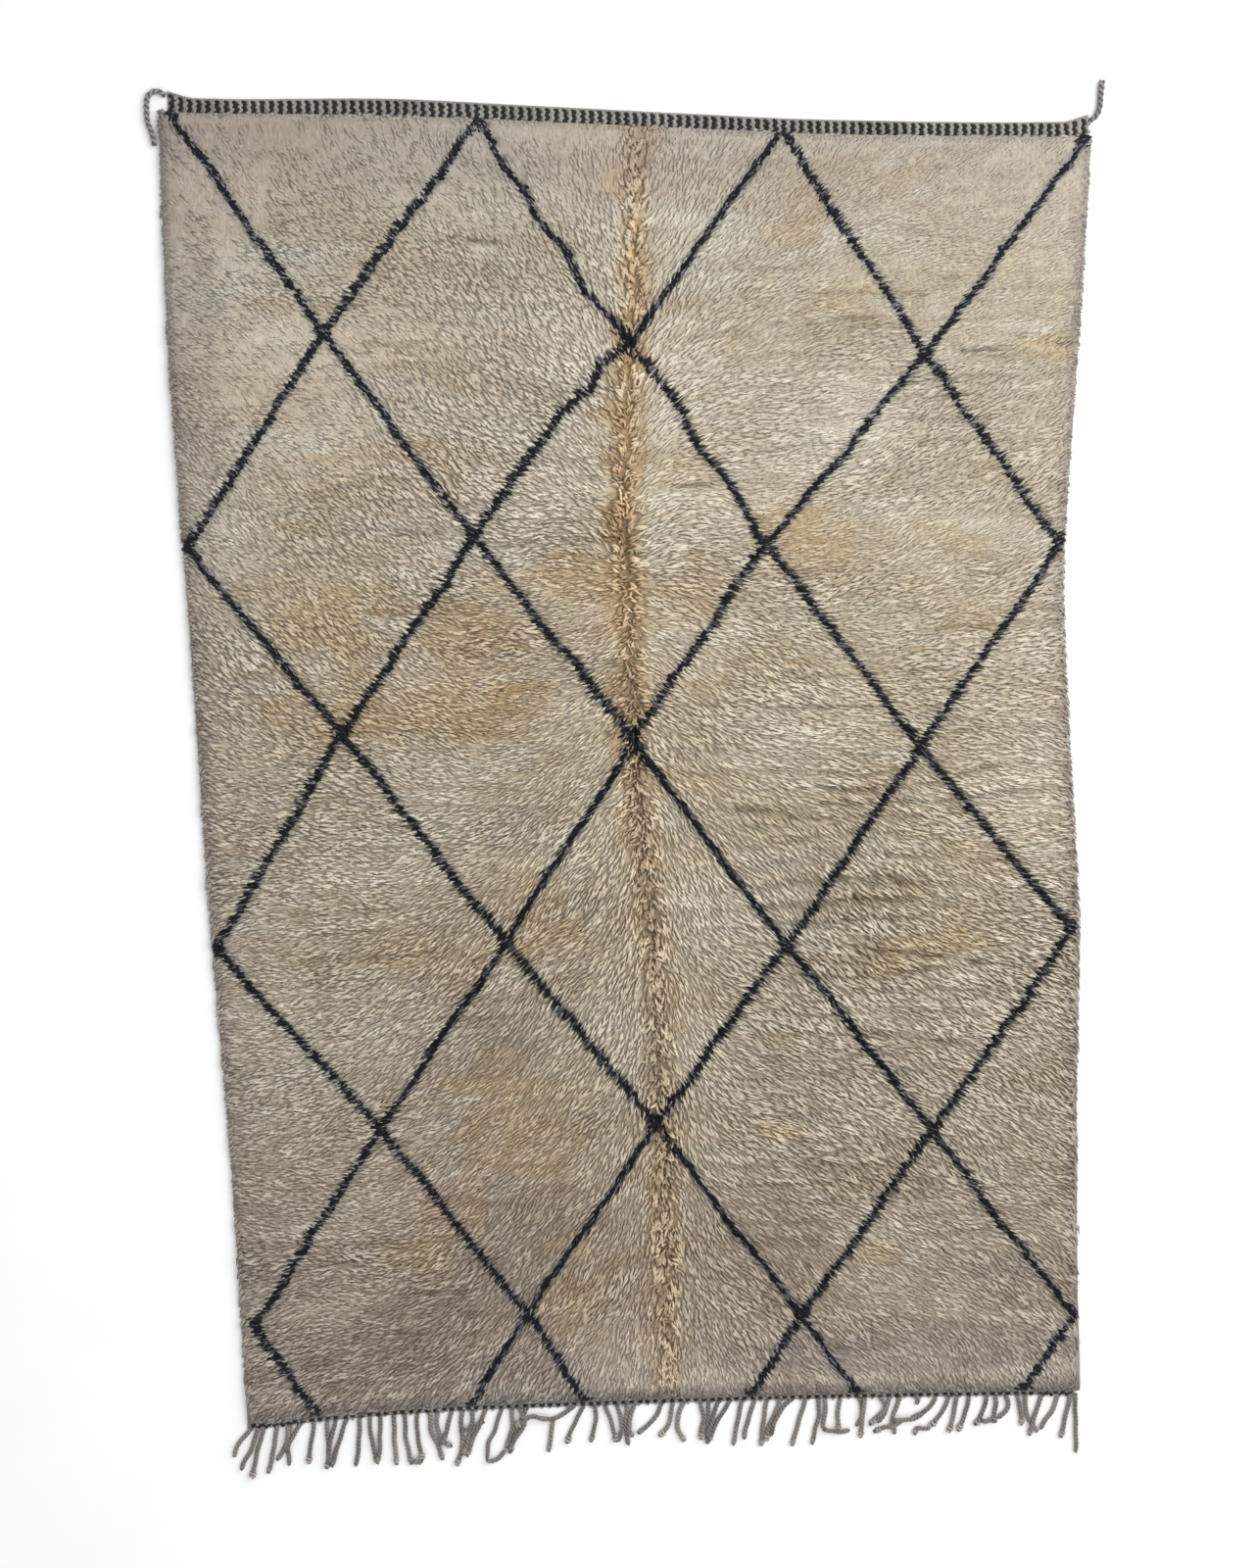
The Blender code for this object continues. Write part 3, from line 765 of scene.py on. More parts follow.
@dataclass(frozen=True)
class LooseWool:
    """Wool of the pile: painted shade makes it dark at the root and leaves it pale at the tip, with fine
    fibres along each lock.
    """

    name: str
    root_light: float = 0.68  # share of the colour left at the root, under painted shade
    root_shade_tint: Triple = (1.0, 0.93, 0.82)  # colour of the painted shade that tints the root
    tip_light: float = 1.05  # share of the colour left at the tip
    fibres: Pair = (5.0, 1.6)  # number of fibre streaks round a lock, and along it
    # how much a fibre lightens the wool, and the light between fibres
    fibre_light: Pair = (1.1, 0.46)
    depth: float = 0.0016
    relief: float = 0.7
    roughness: float = 0.88
    sheen: float = 0.12
    gloss: float = 0.18  # its mirror-like share

    def make(self) -> Material:
        """Makes the material.

        Returns:
            The material.
        """
        shader = Shader(self.name)
        along = Number(shader, shader.stored("along").outputs["Fac"])
        strand = shader.stretch(shader.chart("Strand"), (*self.fibres, 0.0))
        fibre = shader.noise(strand, 1.0, 3.0)
        # painted shade: darker and warmer towards the root, by the stored along value
        light = along * (self.tip_light - self.root_light) + self.root_light
        light = light * (fibre * self.fibre_light[0] + self.fibre_light[1])
        deep = shader.mix("MIX", along, colour(self.root_shade_tint), colour((1.0, 1.0, 1.0)))
        base = shader.mix("MULTIPLY", 1.0, shader.stored("wool").outputs["Color"], deep)
        base = shader.mix("MULTIPLY", 1.0, base, light)
        rough = fibre * 0.16 + (self.roughness - 0.16 / 2)
        return shader.close(
            base, rough, fibre, self.depth, self.relief,
            Sheen_Weight=self.sheen, Sheen_Roughness=SHEEN_ROUGHNESS, Specular_IOR_Level=self.gloss,
        )


@dataclass(frozen=True)
class Yarn:
    """Spun yarn: speckled wool with short fibres lying along it, and painted shade in the grooves of twisted
    pairs where asked for.
    """

    name: str
    light: Triple
    dark: Triple
    grain: float = 420.0
    contrast: Pair = (0.36, 0.64)  # levels of the mottling that are all dark and all light
    relief: float = 0.7
    depth: float = 0.0008
    shaded_grooves: bool = False
    # places out of a groove, from 0 to 1, where the yarn is dark with painted shade and where it is light
    groove: Pair = (0.45, 0.95)
    roughness: Pair = (0.82, 0.14)  # roughness between the fibres, and how much more on them
    sheen: float = 0.1
    gloss: float = 0.15  # its mirror-like share

    def make(self) -> Material:
        """Makes the material.

        Returns:
            The material.
        """
        shader = Shader(self.name)
        place = shader.place()
        speckle = shader.noise(place, self.grain, 3.0)
        broad = shader.noise(place, 9.0)
        share = shader.smooth(speckle * 0.65 + broad * 0.35, *self.contrast)
        if self.shaded_grooves:
            # painted shade: the yarn is darker deep in the grooves between twisted yarns
            proud = Number(shader, shader.stored("proud").outputs["Fac"])
            share = share * 0.35 + shader.smooth(proud, *self.groove) * 0.65
        base = shader.mix("MIX", share, colour(self.dark), colour(self.light))
        fibre = shader.noise(shader.stretch(place, (1.0, 0.45, 1.0)), self.grain * 2.2)
        return shader.close(
            base, fibre * self.roughness[1] + self.roughness[0], fibre, self.depth, self.relief,
            Sheen_Weight=self.sheen, Sheen_Roughness=SHEEN_ROUGHNESS, Specular_IOR_Level=self.gloss,
        )


@dataclass(frozen=True)
class PlainWeave:
    """Flat woven ground: weft over warp, seen on the back and between the locks, with painted shade between
    the threads.
    """

    name: str
    light: Triple
    dark: Triple
    pitch: float = 0.0052
    contrast: Pair = (0.2, 0.75)  # levels of the tone that are all dark and all light
    depth: float = 0.0012

    def make(self) -> Material:
        """Makes the material.

        Returns:
            The material.
        """
        shader = Shader(self.name)
        place = shader.place()
        turn = math.tau / self.pitch
        apart = shader.node("SeparateXYZ", {}, {0: shader.stretch(place, (turn, turn, 0.0))})
        weft = shader.number("SINE", Number(shader, apart.outputs[1])) * 0.5 + 0.5
        warp = shader.number("SINE", Number(shader, apart.outputs[0]) * 0.5) * 0.5 + 0.5
        thread = weft * 0.65 + warp * 0.35
        blotch = shader.noise(place, 14.0, 3.0)
        tone = thread * 0.6 + blotch * 0.4
        # painted shade: darker between the threads, lighter on their tops
        base = shader.mix("MIX", shader.smooth(tone, *self.contrast), colour(self.dark), colour(self.light))
        return shader.close(base, blotch * 0.1 + 0.85, thread, self.depth, 0.8, Specular_IOR_Level=0.15)


@dataclass(frozen=True)
class StudioFloor:
    """Plain matt floor, almost white."""

    name: str = "studio_floor"
    darker: Triple = (0.86, 0.86, 0.86)
    lighter: Triple = (0.90, 0.90, 0.90)

    def make(self) -> Material:
        """Makes the material.

        Returns:
            The material.
        """
        shader = Shader(self.name)
        patches = shader.noise(shader.place(), 3.0)
        base = shader.mix("MIX", patches, colour(self.darker), colour(self.lighter))
        return shader.close(base, 0.95, Specular_IOR_Level=0.0)


# ---------------------------------------------------------------------------------------------
# The rug's fields: outline, lie of the wool, height of the pile, colour and the black lines.


def ramp(places: Array, start: float, end: float) -> Array:
    """Smooth step along one way of the rug, from 0 at its start to 1 at its end."""
    return smooth_step((places - start) / (end - start))


def from_parting(x: Array, y: Array) -> Array:
    """Signed distance from the parting down the middle, which winds a little."""
    winding = sum(stray * Wander(seed, 1.0, length).at(x * 0, y) for seed, length, stray in PARTING_WINDS)
    return x - read_table(FOLD_LINE, y) + winding


def at_parting(x: Array, y: Array, reach: float) -> Array:
    """How near places are to the parting, from 0 at its reach to 1 on its line."""
    return fade(np.abs(from_parting(x, y)), reach)


def inside(x: Array, y: Array) -> tuple[Array, ...]:
    """Distances inside the edges of the ground cloth.

    Args:
        x: Places across the rug.
        y: Places along the rug.

    Returns:
        The distance from the left, right, foot and head edge.
    """
    return (
        x - read_table(SIDE_EDGES, y, 1),
        read_table(SIDE_EDGES, y, 2) - x,
        y - read_table(FOOT_LINE, x),
        read_table(HEAD_LINE, x) - y,
    )


def spread_over_cloth(
    u: Array, v: Array, margin: float, hang: float
) -> tuple[Array, Array]:
    """Places between the rug's edges, by their share of its width and of its length.

    Args:
        u: Share of the way across.
        v: Share of the way along.
        margin: Distance kept from the foot and the head.
        hang: Distance that is added at the sides.

    Returns:
        Places across the rug and along it.
    """
    x, y = 2.0 * u - 1.0, 3.0 * v - 1.5
    for _ in range(4):  # an edge depends on the other coordinate, so the places close in on it
        foot, head = read_table(FOOT_LINE, x), read_table(HEAD_LINE, x)
        y = foot + margin + (head - foot - 2 * margin) * v
        left, right = read_table(SIDE_EDGES, y, 1) - hang, read_table(SIDE_EDGES, y, 2) + hang
        x = left + (right - left) * u
    return x, y


def segment_distance(x: Array, y: Array, line: tuple[float, ...]) -> Array:
    """Distance of places from a straight line between two ends.

    Args:
        x: Places across the rug.
        y: Places along the rug.
        line: x and y of one end, then of the other.

    Returns:
        The distance of each place.
    """
    x0, y0, x1, y1 = line[:4]
    dx, dy = x1 - x0, y1 - y0
    t = np.clip(((x - x0) * dx + (y - y0) * dy) / (dx * dx + dy * dy), 0, 1)
    return np.hypot(x - x0 - t * dx, y - y0 - t * dy)


def lattice_nodes() -> list[Pair]:
    """Places where the black lines cross or end."""
    return [place for row in CROSSINGS for place in row] + [(x, y) for _, x, y in FOOT_ENDS]


@dataclass(frozen=True)
class Lie:
    """Which way the wool leans at each place."""

    parting_width: float = 0.006  # width over which the lean turns from one side to the other
    broad_turn: float = 11.0  # slow wander of the lean, in degrees
    fine_turn: float = 13.0  # quick wander of the lean, in degrees
    cross: float = 0.010  # how far a lock may be rooted on the wrong side of the parting
    edge_turn: float = 48.0  # extra lean towards the foot at the side edges, in degrees
    edge_reach: float = 0.030  # how far from an edge that extra lean begins
    broad: Wander = Wander(3, 0.16, 0.13)
    fine: Wander = Wander(4, 0.055, 0.045)

    def at(self, x: Array, y: Array, chance: Any = 0.0) -> Array:
        """Gives the direction that the tips point in.

        Args:
            x: Places across the rug.
            y: Places along the rug.
            chance: A random number for each lock, about 0.

        Returns:
            A row of x and y, of length 1, for each place.
        """
        away = from_parting(x, y) + self.cross * chance
        tilt = read_grid(LEAN_COLUMNS, LEAN_ROWS, away, y)
        tilt = tilt + self.broad_turn * self.broad.at(x, y) + self.fine_turn * self.fine.at(x, y)
        left, right, _, _ = inside(x, y)
        tilt = tilt - self.edge_turn * fade(np.minimum(left, right), self.edge_reach)
        angle = np.radians(tilt)
        side = np.tanh(away / self.parting_width)
        return unit(np.stack([side * np.cos(angle), np.sin(angle)], axis=1))


@dataclass(frozen=True)
class Follow:
    """A number that follows how deep the gaps between the locks look."""

    base: float  # its value where there are no gaps
    slope: float  # how much it grows as the gaps reach their usual depth
    low: float = -math.inf
    high: float = math.inf

    def at(self, deep: Array) -> Array:
        """Its value at each place."""
        return np.clip(self.base + self.slope * deep, self.low, self.high)


@dataclass(frozen=True)
class Gaps:
    """The gaps between the locks, whose depth also sets painted shade and painted light on the wool."""

    parting_extra: float = 0.55  # how much deeper they look at the parting, as a share
    # painted light and shade: scale of the wool's colour by the gaps' depth, darker where they are shallow,
    # as at the head, lighter where they are deep
    light: Follow = Follow(0.68, 0.31, 0.70, 1.28)

    def at(self, x: Array, y: Array) -> Array:
        """How deep the gaps look at each place; 1 is usual."""
        level = read_grid(OPEN_COLUMNS, OPEN_ROWS, x, y)
        return np.minimum(level * (1 + self.parting_extra * at_parting(x, y, 0.040)), 2.5)


@dataclass(frozen=True)
class Waves:
    """Long low waves across the pile, each rising slowly towards the foot and dropping at once."""

    period: float = 0.047
    stray: float = 0.034
    drop: float = 0.16  # share of a wave that its steep side takes
    calm: float = 0.25
    path: Wander = Wander(35, 0.34, 0.16)
    kink: Wander = Wander(36, 0.09, 0.07)
    share: Wander = Wander(37, 0.21, 0.045)

    def at(self, x: Array, y: Array) -> tuple[Array, Array]:
        """Gives the waves at each place.

        Args:
            x: Places across the rug.
            y: Places along the rug.

        Returns:
            The rise of the wave from -0.5 to 0.5, and how much painted shade its foot gets, from 0 to 1.
        """
        zone = np.full(len(x), self.calm)
        for patch in WAVE_ZONES:
            zone = np.maximum(zone, patch[4] * smooth_step(1.25 - from_patch(x, y, patch)))
        phase = (y + self.stray * (self.path.at(x, y) + 0.22 * self.kink.at(x, y))) / self.period
        rise = phase - np.floor(phase)
        strength = zone * np.clip(0.55 + 0.75 * self.share.at(x, y), 0, 1.25)
        crest = np.where(rise < self.drop, rise / self.drop, (1 - rise) / (1 - self.drop))
        foot = np.exp(-((np.minimum(rise, 1 - rise) / 0.075) ** 2))
        return strength * (smooth_step(crest) - 0.5), strength * foot


@dataclass(frozen=True)
class Heights:
    """How high the pile stands, and how much light its low places lose."""

    pile: float = 0.0165
    broad_lump: float = 0.0028
    tuft_lump: float = 0.0016
    parting_depth: float = 0.0080  # how far the pile drops at the parting
    parting_reach: float = 0.014
    crease_reach: float = 0.013
    shoulder: float = 0.030
    ripple: float = 0.0058
    crest_light: float = 0.14  # how much lighter a wave's crest is
    foot_shade: float = 0.50  # how much darker a wave's foot is
    crease_shade: float = 58.0  # how much darker a crease is, for each metre of its depth
    waves: Waves = Waves()
    broad: Wander = Wander(1, 0.30, 0.10)
    tuft: Wander = Wander(2, 0.05, 0.035)
    bands: tuple[Wander, Wander] = (Wander(38, 0.14, 0.013), Wander(39, 0.24, 0.035))

    def shade(self, x: Array, y: Array) -> Array:
        """Gives the light that the wool keeps at each place.

        Args:
            x: Places across the rug.
            y: Places along the rug.

        Returns:
            Shares of red, green and blue for each place.
        """
        rise, foot = self.waves.at(x, y)
        kept = 1 + self.crest_light * rise - self.foot_shade * foot
        for crease in CREASES:
            near = fade(segment_distance(x, y, crease), 0.5 * self.crease_reach)
            kept -= self.crease_shade * crease[4] * near
        streak = sum(stray * band.at(x, y) for stray, band in zip((0.045, 0.035), self.bands))
        return np.clip(kept + streak, 0.22, 1.3)[:, None] ** np.array((0.94, 1.0, 1.10))

    def at(self, x: Array, y: Array) -> Array:
        """Gives the height of the pile above the ground cloth.

        Args:
            x: Places across the rug.
            y: Places along the rug.

        Returns:
            The height at each place.
        """
        height = self.pile + self.broad_lump * self.broad.at(x, y) + self.tuft_lump * self.tuft.at(x, y)
        share = 0.25 + 0.75 * ramp(y, 1.45, 0.95)
        height -= self.parting_depth * share * at_parting(x, y, self.parting_reach)
        for crease in CREASES:
            height -= crease[4] * fade(segment_distance(x, y, crease), self.crease_reach)
        height += self.ripple * self.waves.at(x, y)[0]
        left, right, foot, head = inside(x, y)
        over_side, over_end = 0.014, 0.004
        rim = np.minimum(np.minimum(left, right) + over_side, np.minimum(foot, head) + over_end)
        round_off = 1 - np.clip(rim / self.shoulder, 0, 1)
        return height * np.sqrt(np.clip(1 - round_off**2, 0.02, 1))


@dataclass(frozen=True)
class Dye:
    """Colour of the wool: washes of other tones over cream, and washes of painted shade and painted light."""

    pale: Pair = (0.40, 0.35)  # strongest pale wash of the slow drifts, and of the streaks
    tan: Pair = (0.35, 0.32)  # strongest tan wash of the same two
    # strength of the mauve painted shade that darkens the wool towards the foot
    foot_painted_shade: float = 0.58
    corner_painted_shade: float = 0.45  # strength of the mauve painted shade at the upper left corner
    # painted light: how much lighter the wool is beside the parting, and how far from it
    middle_painted_light: Pair = (0.10, 0.30)
    # strength of the mauve painted shade at the head, and how much less on the right
    head_painted_shade: Pair = (0.50, 0.26)
    left_painted_shade: Pair = (0.25, 0.22)  # strength and reach of the mauve painted shade at the left edge
    rim_painted_shade: Pair = (0.55, 0.045)  # strength and reach of the mauve painted shade round the rim, where the pile rounds off
    drift: Wander = Wander(21, 0.22, 0.09)
    streak: Wander = Wander(24, 0.085, 0.024)
    broad: Wander = Wander(22, 0.10, 0.05)
    fine: Wander = Wander(23, 0.05, 0.03)

    def at(self, x: Array, y: Array) -> Array:
        """Gives the wool's colour.

        Args:
            x: Places across the rug.
            y: Places along the rug.

        Returns:
            A row of red, green and blue for each place.
        """
        tone = np.tile(np.array(Tone.CREAM.value), (len(x), 1))

        def wash(other: Tone, share: Array) -> None:
            """Mixes another tone in."""
            tone[:] = blend(tone, other, np.clip(share, 0, 1))

        drift, streak = self.drift.at(x, y), self.streak.at(x, y)
        wash(Tone.PALE, self.pale[0] * np.clip(drift, 0, 1) + self.pale[1] * np.clip(streak, 0, 1))
        wash(Tone.TAN, self.tan[0] * np.clip(-drift, 0, 1) + self.tan[1] * np.clip(-streak, 0, 1))
        # painted shade: mauve darkens the wool towards the foot, less on the right, and at the upper left
        # corner
        ease = 1 - 0.25 * ramp(x, -0.3, 0.7)
        wash(Tone.MAUVE, self.foot_painted_shade * ramp(y, 0.1, -1.6) * ease)
        wash(Tone.MAUVE, self.corner_painted_shade * ramp(x, 0.2, -1.1) * ramp(y, 1.05, 1.55))
        ragged = 1 + 0.35 * self.broad.at(x, y) + 0.3 * self.fine.at(x, y)
        for patch in PATCHES:
            wash(patch[4], patch[5] * smooth_step(1.3 * ragged - from_patch(x, y, patch)))
        away = np.abs(from_parting(x, y))
        # painted light: the wool is lighter in a broad band beside the parting
        tone *= 1 + self.middle_painted_light[0] * fade(away, self.middle_painted_light[1])[:, None]
        strength = 0.55 + 0.45 * ramp(y, -0.5, 0.9)
        wash(Tone.TAN, strength * smooth_step(1.2 * ragged - away / 0.066))
        left, right, foot, head = inside(x, y)
        # painted shade: mauve darkens the wool towards the head, more on the left, and along the left edge
        strength = self.head_painted_shade[0] - self.head_painted_shade[1] * ramp(x, -0.1, 0.7)
        wash(Tone.MAUVE, strength * fade(head - 0.05, 0.20))
        wash(Tone.MAUVE, self.left_painted_shade[0] * fade(left, self.left_painted_shade[1]))
        # painted shade: mauve round the rim, and grey bands where the pile falls off at the foot and the
        # sides
        side = np.minimum(left, right)
        wash(Tone.MAUVE, self.rim_painted_shade[0] * fade(np.minimum(side, foot), self.rim_painted_shade[1]))
        wash(Tone.SHADE, 0.70 * smooth_step(1.3 - foot / 0.032))
        wash(Tone.SHADE, 0.35 * fade(side, 0.012))
        return tone


@dataclass(frozen=True)
class Lattice:
    """Black lines knotted into the pile, from crossing to crossing."""

    step: float = 0.010
    wobble: float = 0.0055
    # length of each kind of sway, its share of the wobble and its first seed
    sways: tuple[tuple[float, float, int], ...] = ((0.085, 1.0, 40), (0.032, 0.6, 90))
    half_width: float = 0.0060
    node_swell: float = 0.0050  # extra half width at a crossing
    node_reach: float = 0.020  # how far from a crossing the swelling goes
    halo: float = 0.010  # how far from a line's edge the wool is greyish
    halo_grey: float = 0.60  # how grey it is at the edge

    def lines(self) -> list[Array]:
        """Draws the lines.

        Returns:
            Points of each line, from its upper end to its lower end.
        """
        ways = []
        for row, (upper, lower) in enumerate(zip(CROSSINGS, CROSSINGS[1:])):
            wide = len(upper) > len(lower)
            for i, start in enumerate(upper):
                for j in (i - 1, i) if wide else (i, i + 1):
                    if 0 <= j < len(lower):
                        ways.append((start, *KINKS.get((row, i, j), ()), lower[j]))
        ways += [(CROSSINGS[-1][int(i)], (x, y)) for i, x, y in FOOT_ENDS]
        return [self._line(np.array(way), n) for n, way in enumerate(ways)]

    def _line(self, way: Array, number: int) -> Array:
        """Draws one line with its own slight wobble.

        Args:
            way: Its two ends, and any kink between them.
            number: The line's number, which sets its wobble.

        Returns:
            Points of the line.
        """
        length = travel(way)[-1]
        t = np.linspace(0, 1, max(int(length / self.step), 2) + 1)
        line = along_line(way, t * length)
        stray = sum(
            share * Wander(seed + number, size, 1.0).at(t * length, t * 0) for size, share, seed in self.sways
        )
        stray = stray * np.sin(np.pi * t) ** 0.35 * self.wobble
        ahead = (way[-1] - way[0]) / np.linalg.norm(way[-1] - way[0])
        return line + np.outer(stray, [ahead[1], -ahead[0]])

    def smudge(self, tone: Array, away: Array) -> Array:
        """Greys the wool beside the lines, by its distance from a line's edge."""
        return blend(tone, Tone.SMOKE, self.halo_grey * fade(away, self.halo))

    def reach(self, x: Array, y: Array) -> Array:
        """Measures how far places are from the lines.

        Args:
            x: Places across the rug.
            y: Places along the rug.

        Returns:
            Distance of each place from the nearest line's middle, less the swelling at crossings.
        """
        nearest = np.full(len(x), 1.0)
        around, beside = 0.04, 0.03
        for line in self.lines():
            low, high = line.min(0) - around, line.max(0) + around
            near = np.nonzero((x > low[0]) & (x < high[0]) & (y > low[1]) & (y < high[1]))[0]
            for a, b in zip(line, line[1:]):
                here = near[np.abs(y[near] - (a[1] + b[1]) / 2) < beside]
                nearest[here] = np.minimum(nearest[here], segment_distance(x[here], y[here], (*a, *b)))
        for node_x, node_y in lattice_nodes():
            nearest -= self.node_swell * fade(np.hypot(x - node_x, y - node_y), self.node_reach)
        return nearest


# ---------------------------------------------------------------------------------------------
# The pile.


@dataclass
class Wool:
    """A crowd of locks before their meshes are made."""

    roots: Array  # where each lock is knotted, x and y
    tips: Array  # where its tip lies, x and y
    middle: Array  # height of its belly above the floor
    end: Array  # height of its tip above the floor
    width: Array
    thick: Array
    curl: Array  # how far its belly swings to one side
    tone: Array
    deep: Array  # how deep the painted shade at its root is; 1 is usual

    def part(self, chosen: Array) -> "Wool":
        """Takes the chosen locks."""
        return Wool(**{name: getattr(self, name)[chosen] for name in self.__dataclass_fields__})


@dataclass(frozen=True)
class Lock:
    """One lock of wool, modelled once: narrow at the root, broad at the belly, pointed at the tip."""

    belly: float = 0.45  # share of its length where it is broadest
    root_share: float = 0.62  # width at the root, as a share of the belly's
    along: Triple = (0.0, 0.55, 1.0)  # paleness at the root, the belly and the tip, from 0 to 1, against the painted root shade
    map_margin: float = 0.01  # empty rim of the flat map

    def model(self) -> Form:
        """Models the lock upright.

        Returns:
            The lock, with its length along z.
        """
        bpy.ops.object.select_all(action="DESELECT")
        bpy.ops.mesh.primitive_cone_add(vertices=3, radius1=1.0, radius2=0.0, depth=1.0, location=(0, 0, 0.5))
        lock = bpy.context.object
        bpy.ops.object.transform_apply(location=True)
        bpy.ops.object.mode_set(mode="EDIT")
        bpy.ops.mesh.select_all(action="SELECT")
        bpy.ops.mesh.bisect(plane_co=(0, 0, self.belly), plane_no=(0, 0, 1))
        grow = 1 / (1 - self.belly)
        bpy.ops.transform.resize(value=(grow, grow, 1.0))
        bpy.ops.object.mode_set(mode="OBJECT")
        for vertex in lock.data.vertices:
            if vertex.co.z < self.belly / 2:
                vertex.co.x *= self.root_share
                vertex.co.y *= self.root_share
        return Form.of(lock)

    def _place(self, form: Form, wool: Wool, ground: float) -> tuple[Array, Array]:
        """Bends a copy of the lock for each lock of a crowd.

        Args:
            form: The lock.
            wool: The crowd of locks.
            ground: Height of the roots above the floor.

        Returns:
            The places of each copy's points, and the paleness of each point of a lock.
        """
        count, span = len(wool.roots), wool.tips - wool.roots
        ahead = unit(span)
        side = np.stack([-ahead[:, 1], ahead[:, 0], np.zeros(count)], axis=1)
        root = at_height(wool.roots, ground)
        swing = side[:, :2] * wool.curl[:, None]
        belly = np.column_stack([wool.roots + span * BELLY_AT + swing, wool.middle])
        tip = np.column_stack([wool.tips, wool.end])
        stations = []
        for centre, forward in ((root, belly - root), (belly, tip - root), (tip, tip - belly)):
            over = np.cross(unit(forward), side)
            stations.append((centre, np.where(over[:, 2:3] < 0, -over, over)))
        places, along = np.empty((count, len(form.points), 3)), np.empty(len(form.points))
        for p, (across, up, length) in enumerate(form.points):
            level = int(length > self.belly / 2) + int(length > (1 + self.belly) / 2)
            centre, over = stations[level]
            places[:, p] = centre + side * (across * wool.width)[:, None] + over * (up * wool.thick)[:, None]
            along[p] = self.along[level]
        places[:, :, 2] = np.maximum(places[:, :, 2], GAP)
        return places, along

    def grow(self, name: str, wool: Wool, ground: float, heights: Heights) -> Piece:
        """Makes one piece of many locks.

        Args:
            name: The piece's name.
            wool: The crowd of locks.
            ground: Height of the roots above the floor.
            heights: The rise and fall of the pile, whose painted shade darkens the locks' colour.

        Returns:
            The piece, with its colour and painted shade, its place along each lock scaled into painted root
            shade, and its maps stored.
        """
        form = self.model()
        places, along = self._place(form, wool, ground)
        count = len(wool.roots)
        piece = make_piece(name, form.crowd(places))
        flat = places.reshape(-1, 3)[:, :2]
        # painted shade: the pile's shade is multiplied into each point's colour, and the root's painted shade
        # is stored as along
        paint(piece, "wool", np.repeat(wool.tone, len(along), axis=0) * heights.shade(*flat.T) ** SHADE_POWER)
        paint(piece, "along", (1 - wool.deep[:, None] * (1 - along[None])).ravel())
        turn = np.arctan2(form.points[:, 0], form.points[:, 1]) / math.tau
        shift = np.random.default_rng(len(name)).uniform(0, 60.0, count)
        strand = np.stack([(turn[None] + shift[:, None]).ravel(), np.tile(form.points[:, 2], count)], axis=1)
        lay_map(piece, "Strand", strand)
        low, high = flat.min(0), flat.max(0)
        lay_map(piece, "OFBake", (flat - low) / (high - low) * (1 - 2 * self.map_margin) + self.map_margin)
        piece.data.uv_layers.active = piece.data.uv_layers["Strand"]
        return piece


@dataclass(frozen=True)
class Clumps:
    """Clumps that the tips of neighbouring locks are drawn to."""

    across: float = 0.012
    along: float = 0.034
    cell: float = 0.022
    cells: int = 170

    def find(self, tips: Array, lie: Array) -> tuple[Array, Array]:
        """Finds the clump that each tip belongs to.

        Args:
            tips: Where the tips would lie.
            lie: The way each one leans.

        Returns:
            The way from each tip to its clump's middle, and a random number of the clump.
        """
        dice = np.random.default_rng(12)
        jitter = dice.uniform(0.0, 1.0, (self.cells, self.cells, 2))
        chance = dice.uniform(0.0, 1.0, (self.cells, self.cells))
        base = np.floor(tips / self.cell).astype(int)
        best = np.full(len(tips), math.inf)
        offset, mark = np.zeros_like(tips), np.zeros(len(tips))
        for step in np.ndindex(5, 5):
            cell = base + np.array(step) - 2
            i, j = cell.T % self.cells
            way = (cell + jitter[i, j]) * self.cell - tips
            along = np.abs(np.einsum("nk,nk->n", way, lie)) / self.along
            across = np.abs(way[:, 0] * lie[:, 1] - way[:, 1] * lie[:, 0]) / self.across
            far = np.hypot(along, across)
            nearer = far < best
            best = np.where(nearer, far, best)
            offset[nearer] = way[nearer]
            mark[nearer] = chance[i, j][nearer]
        return offset, mark


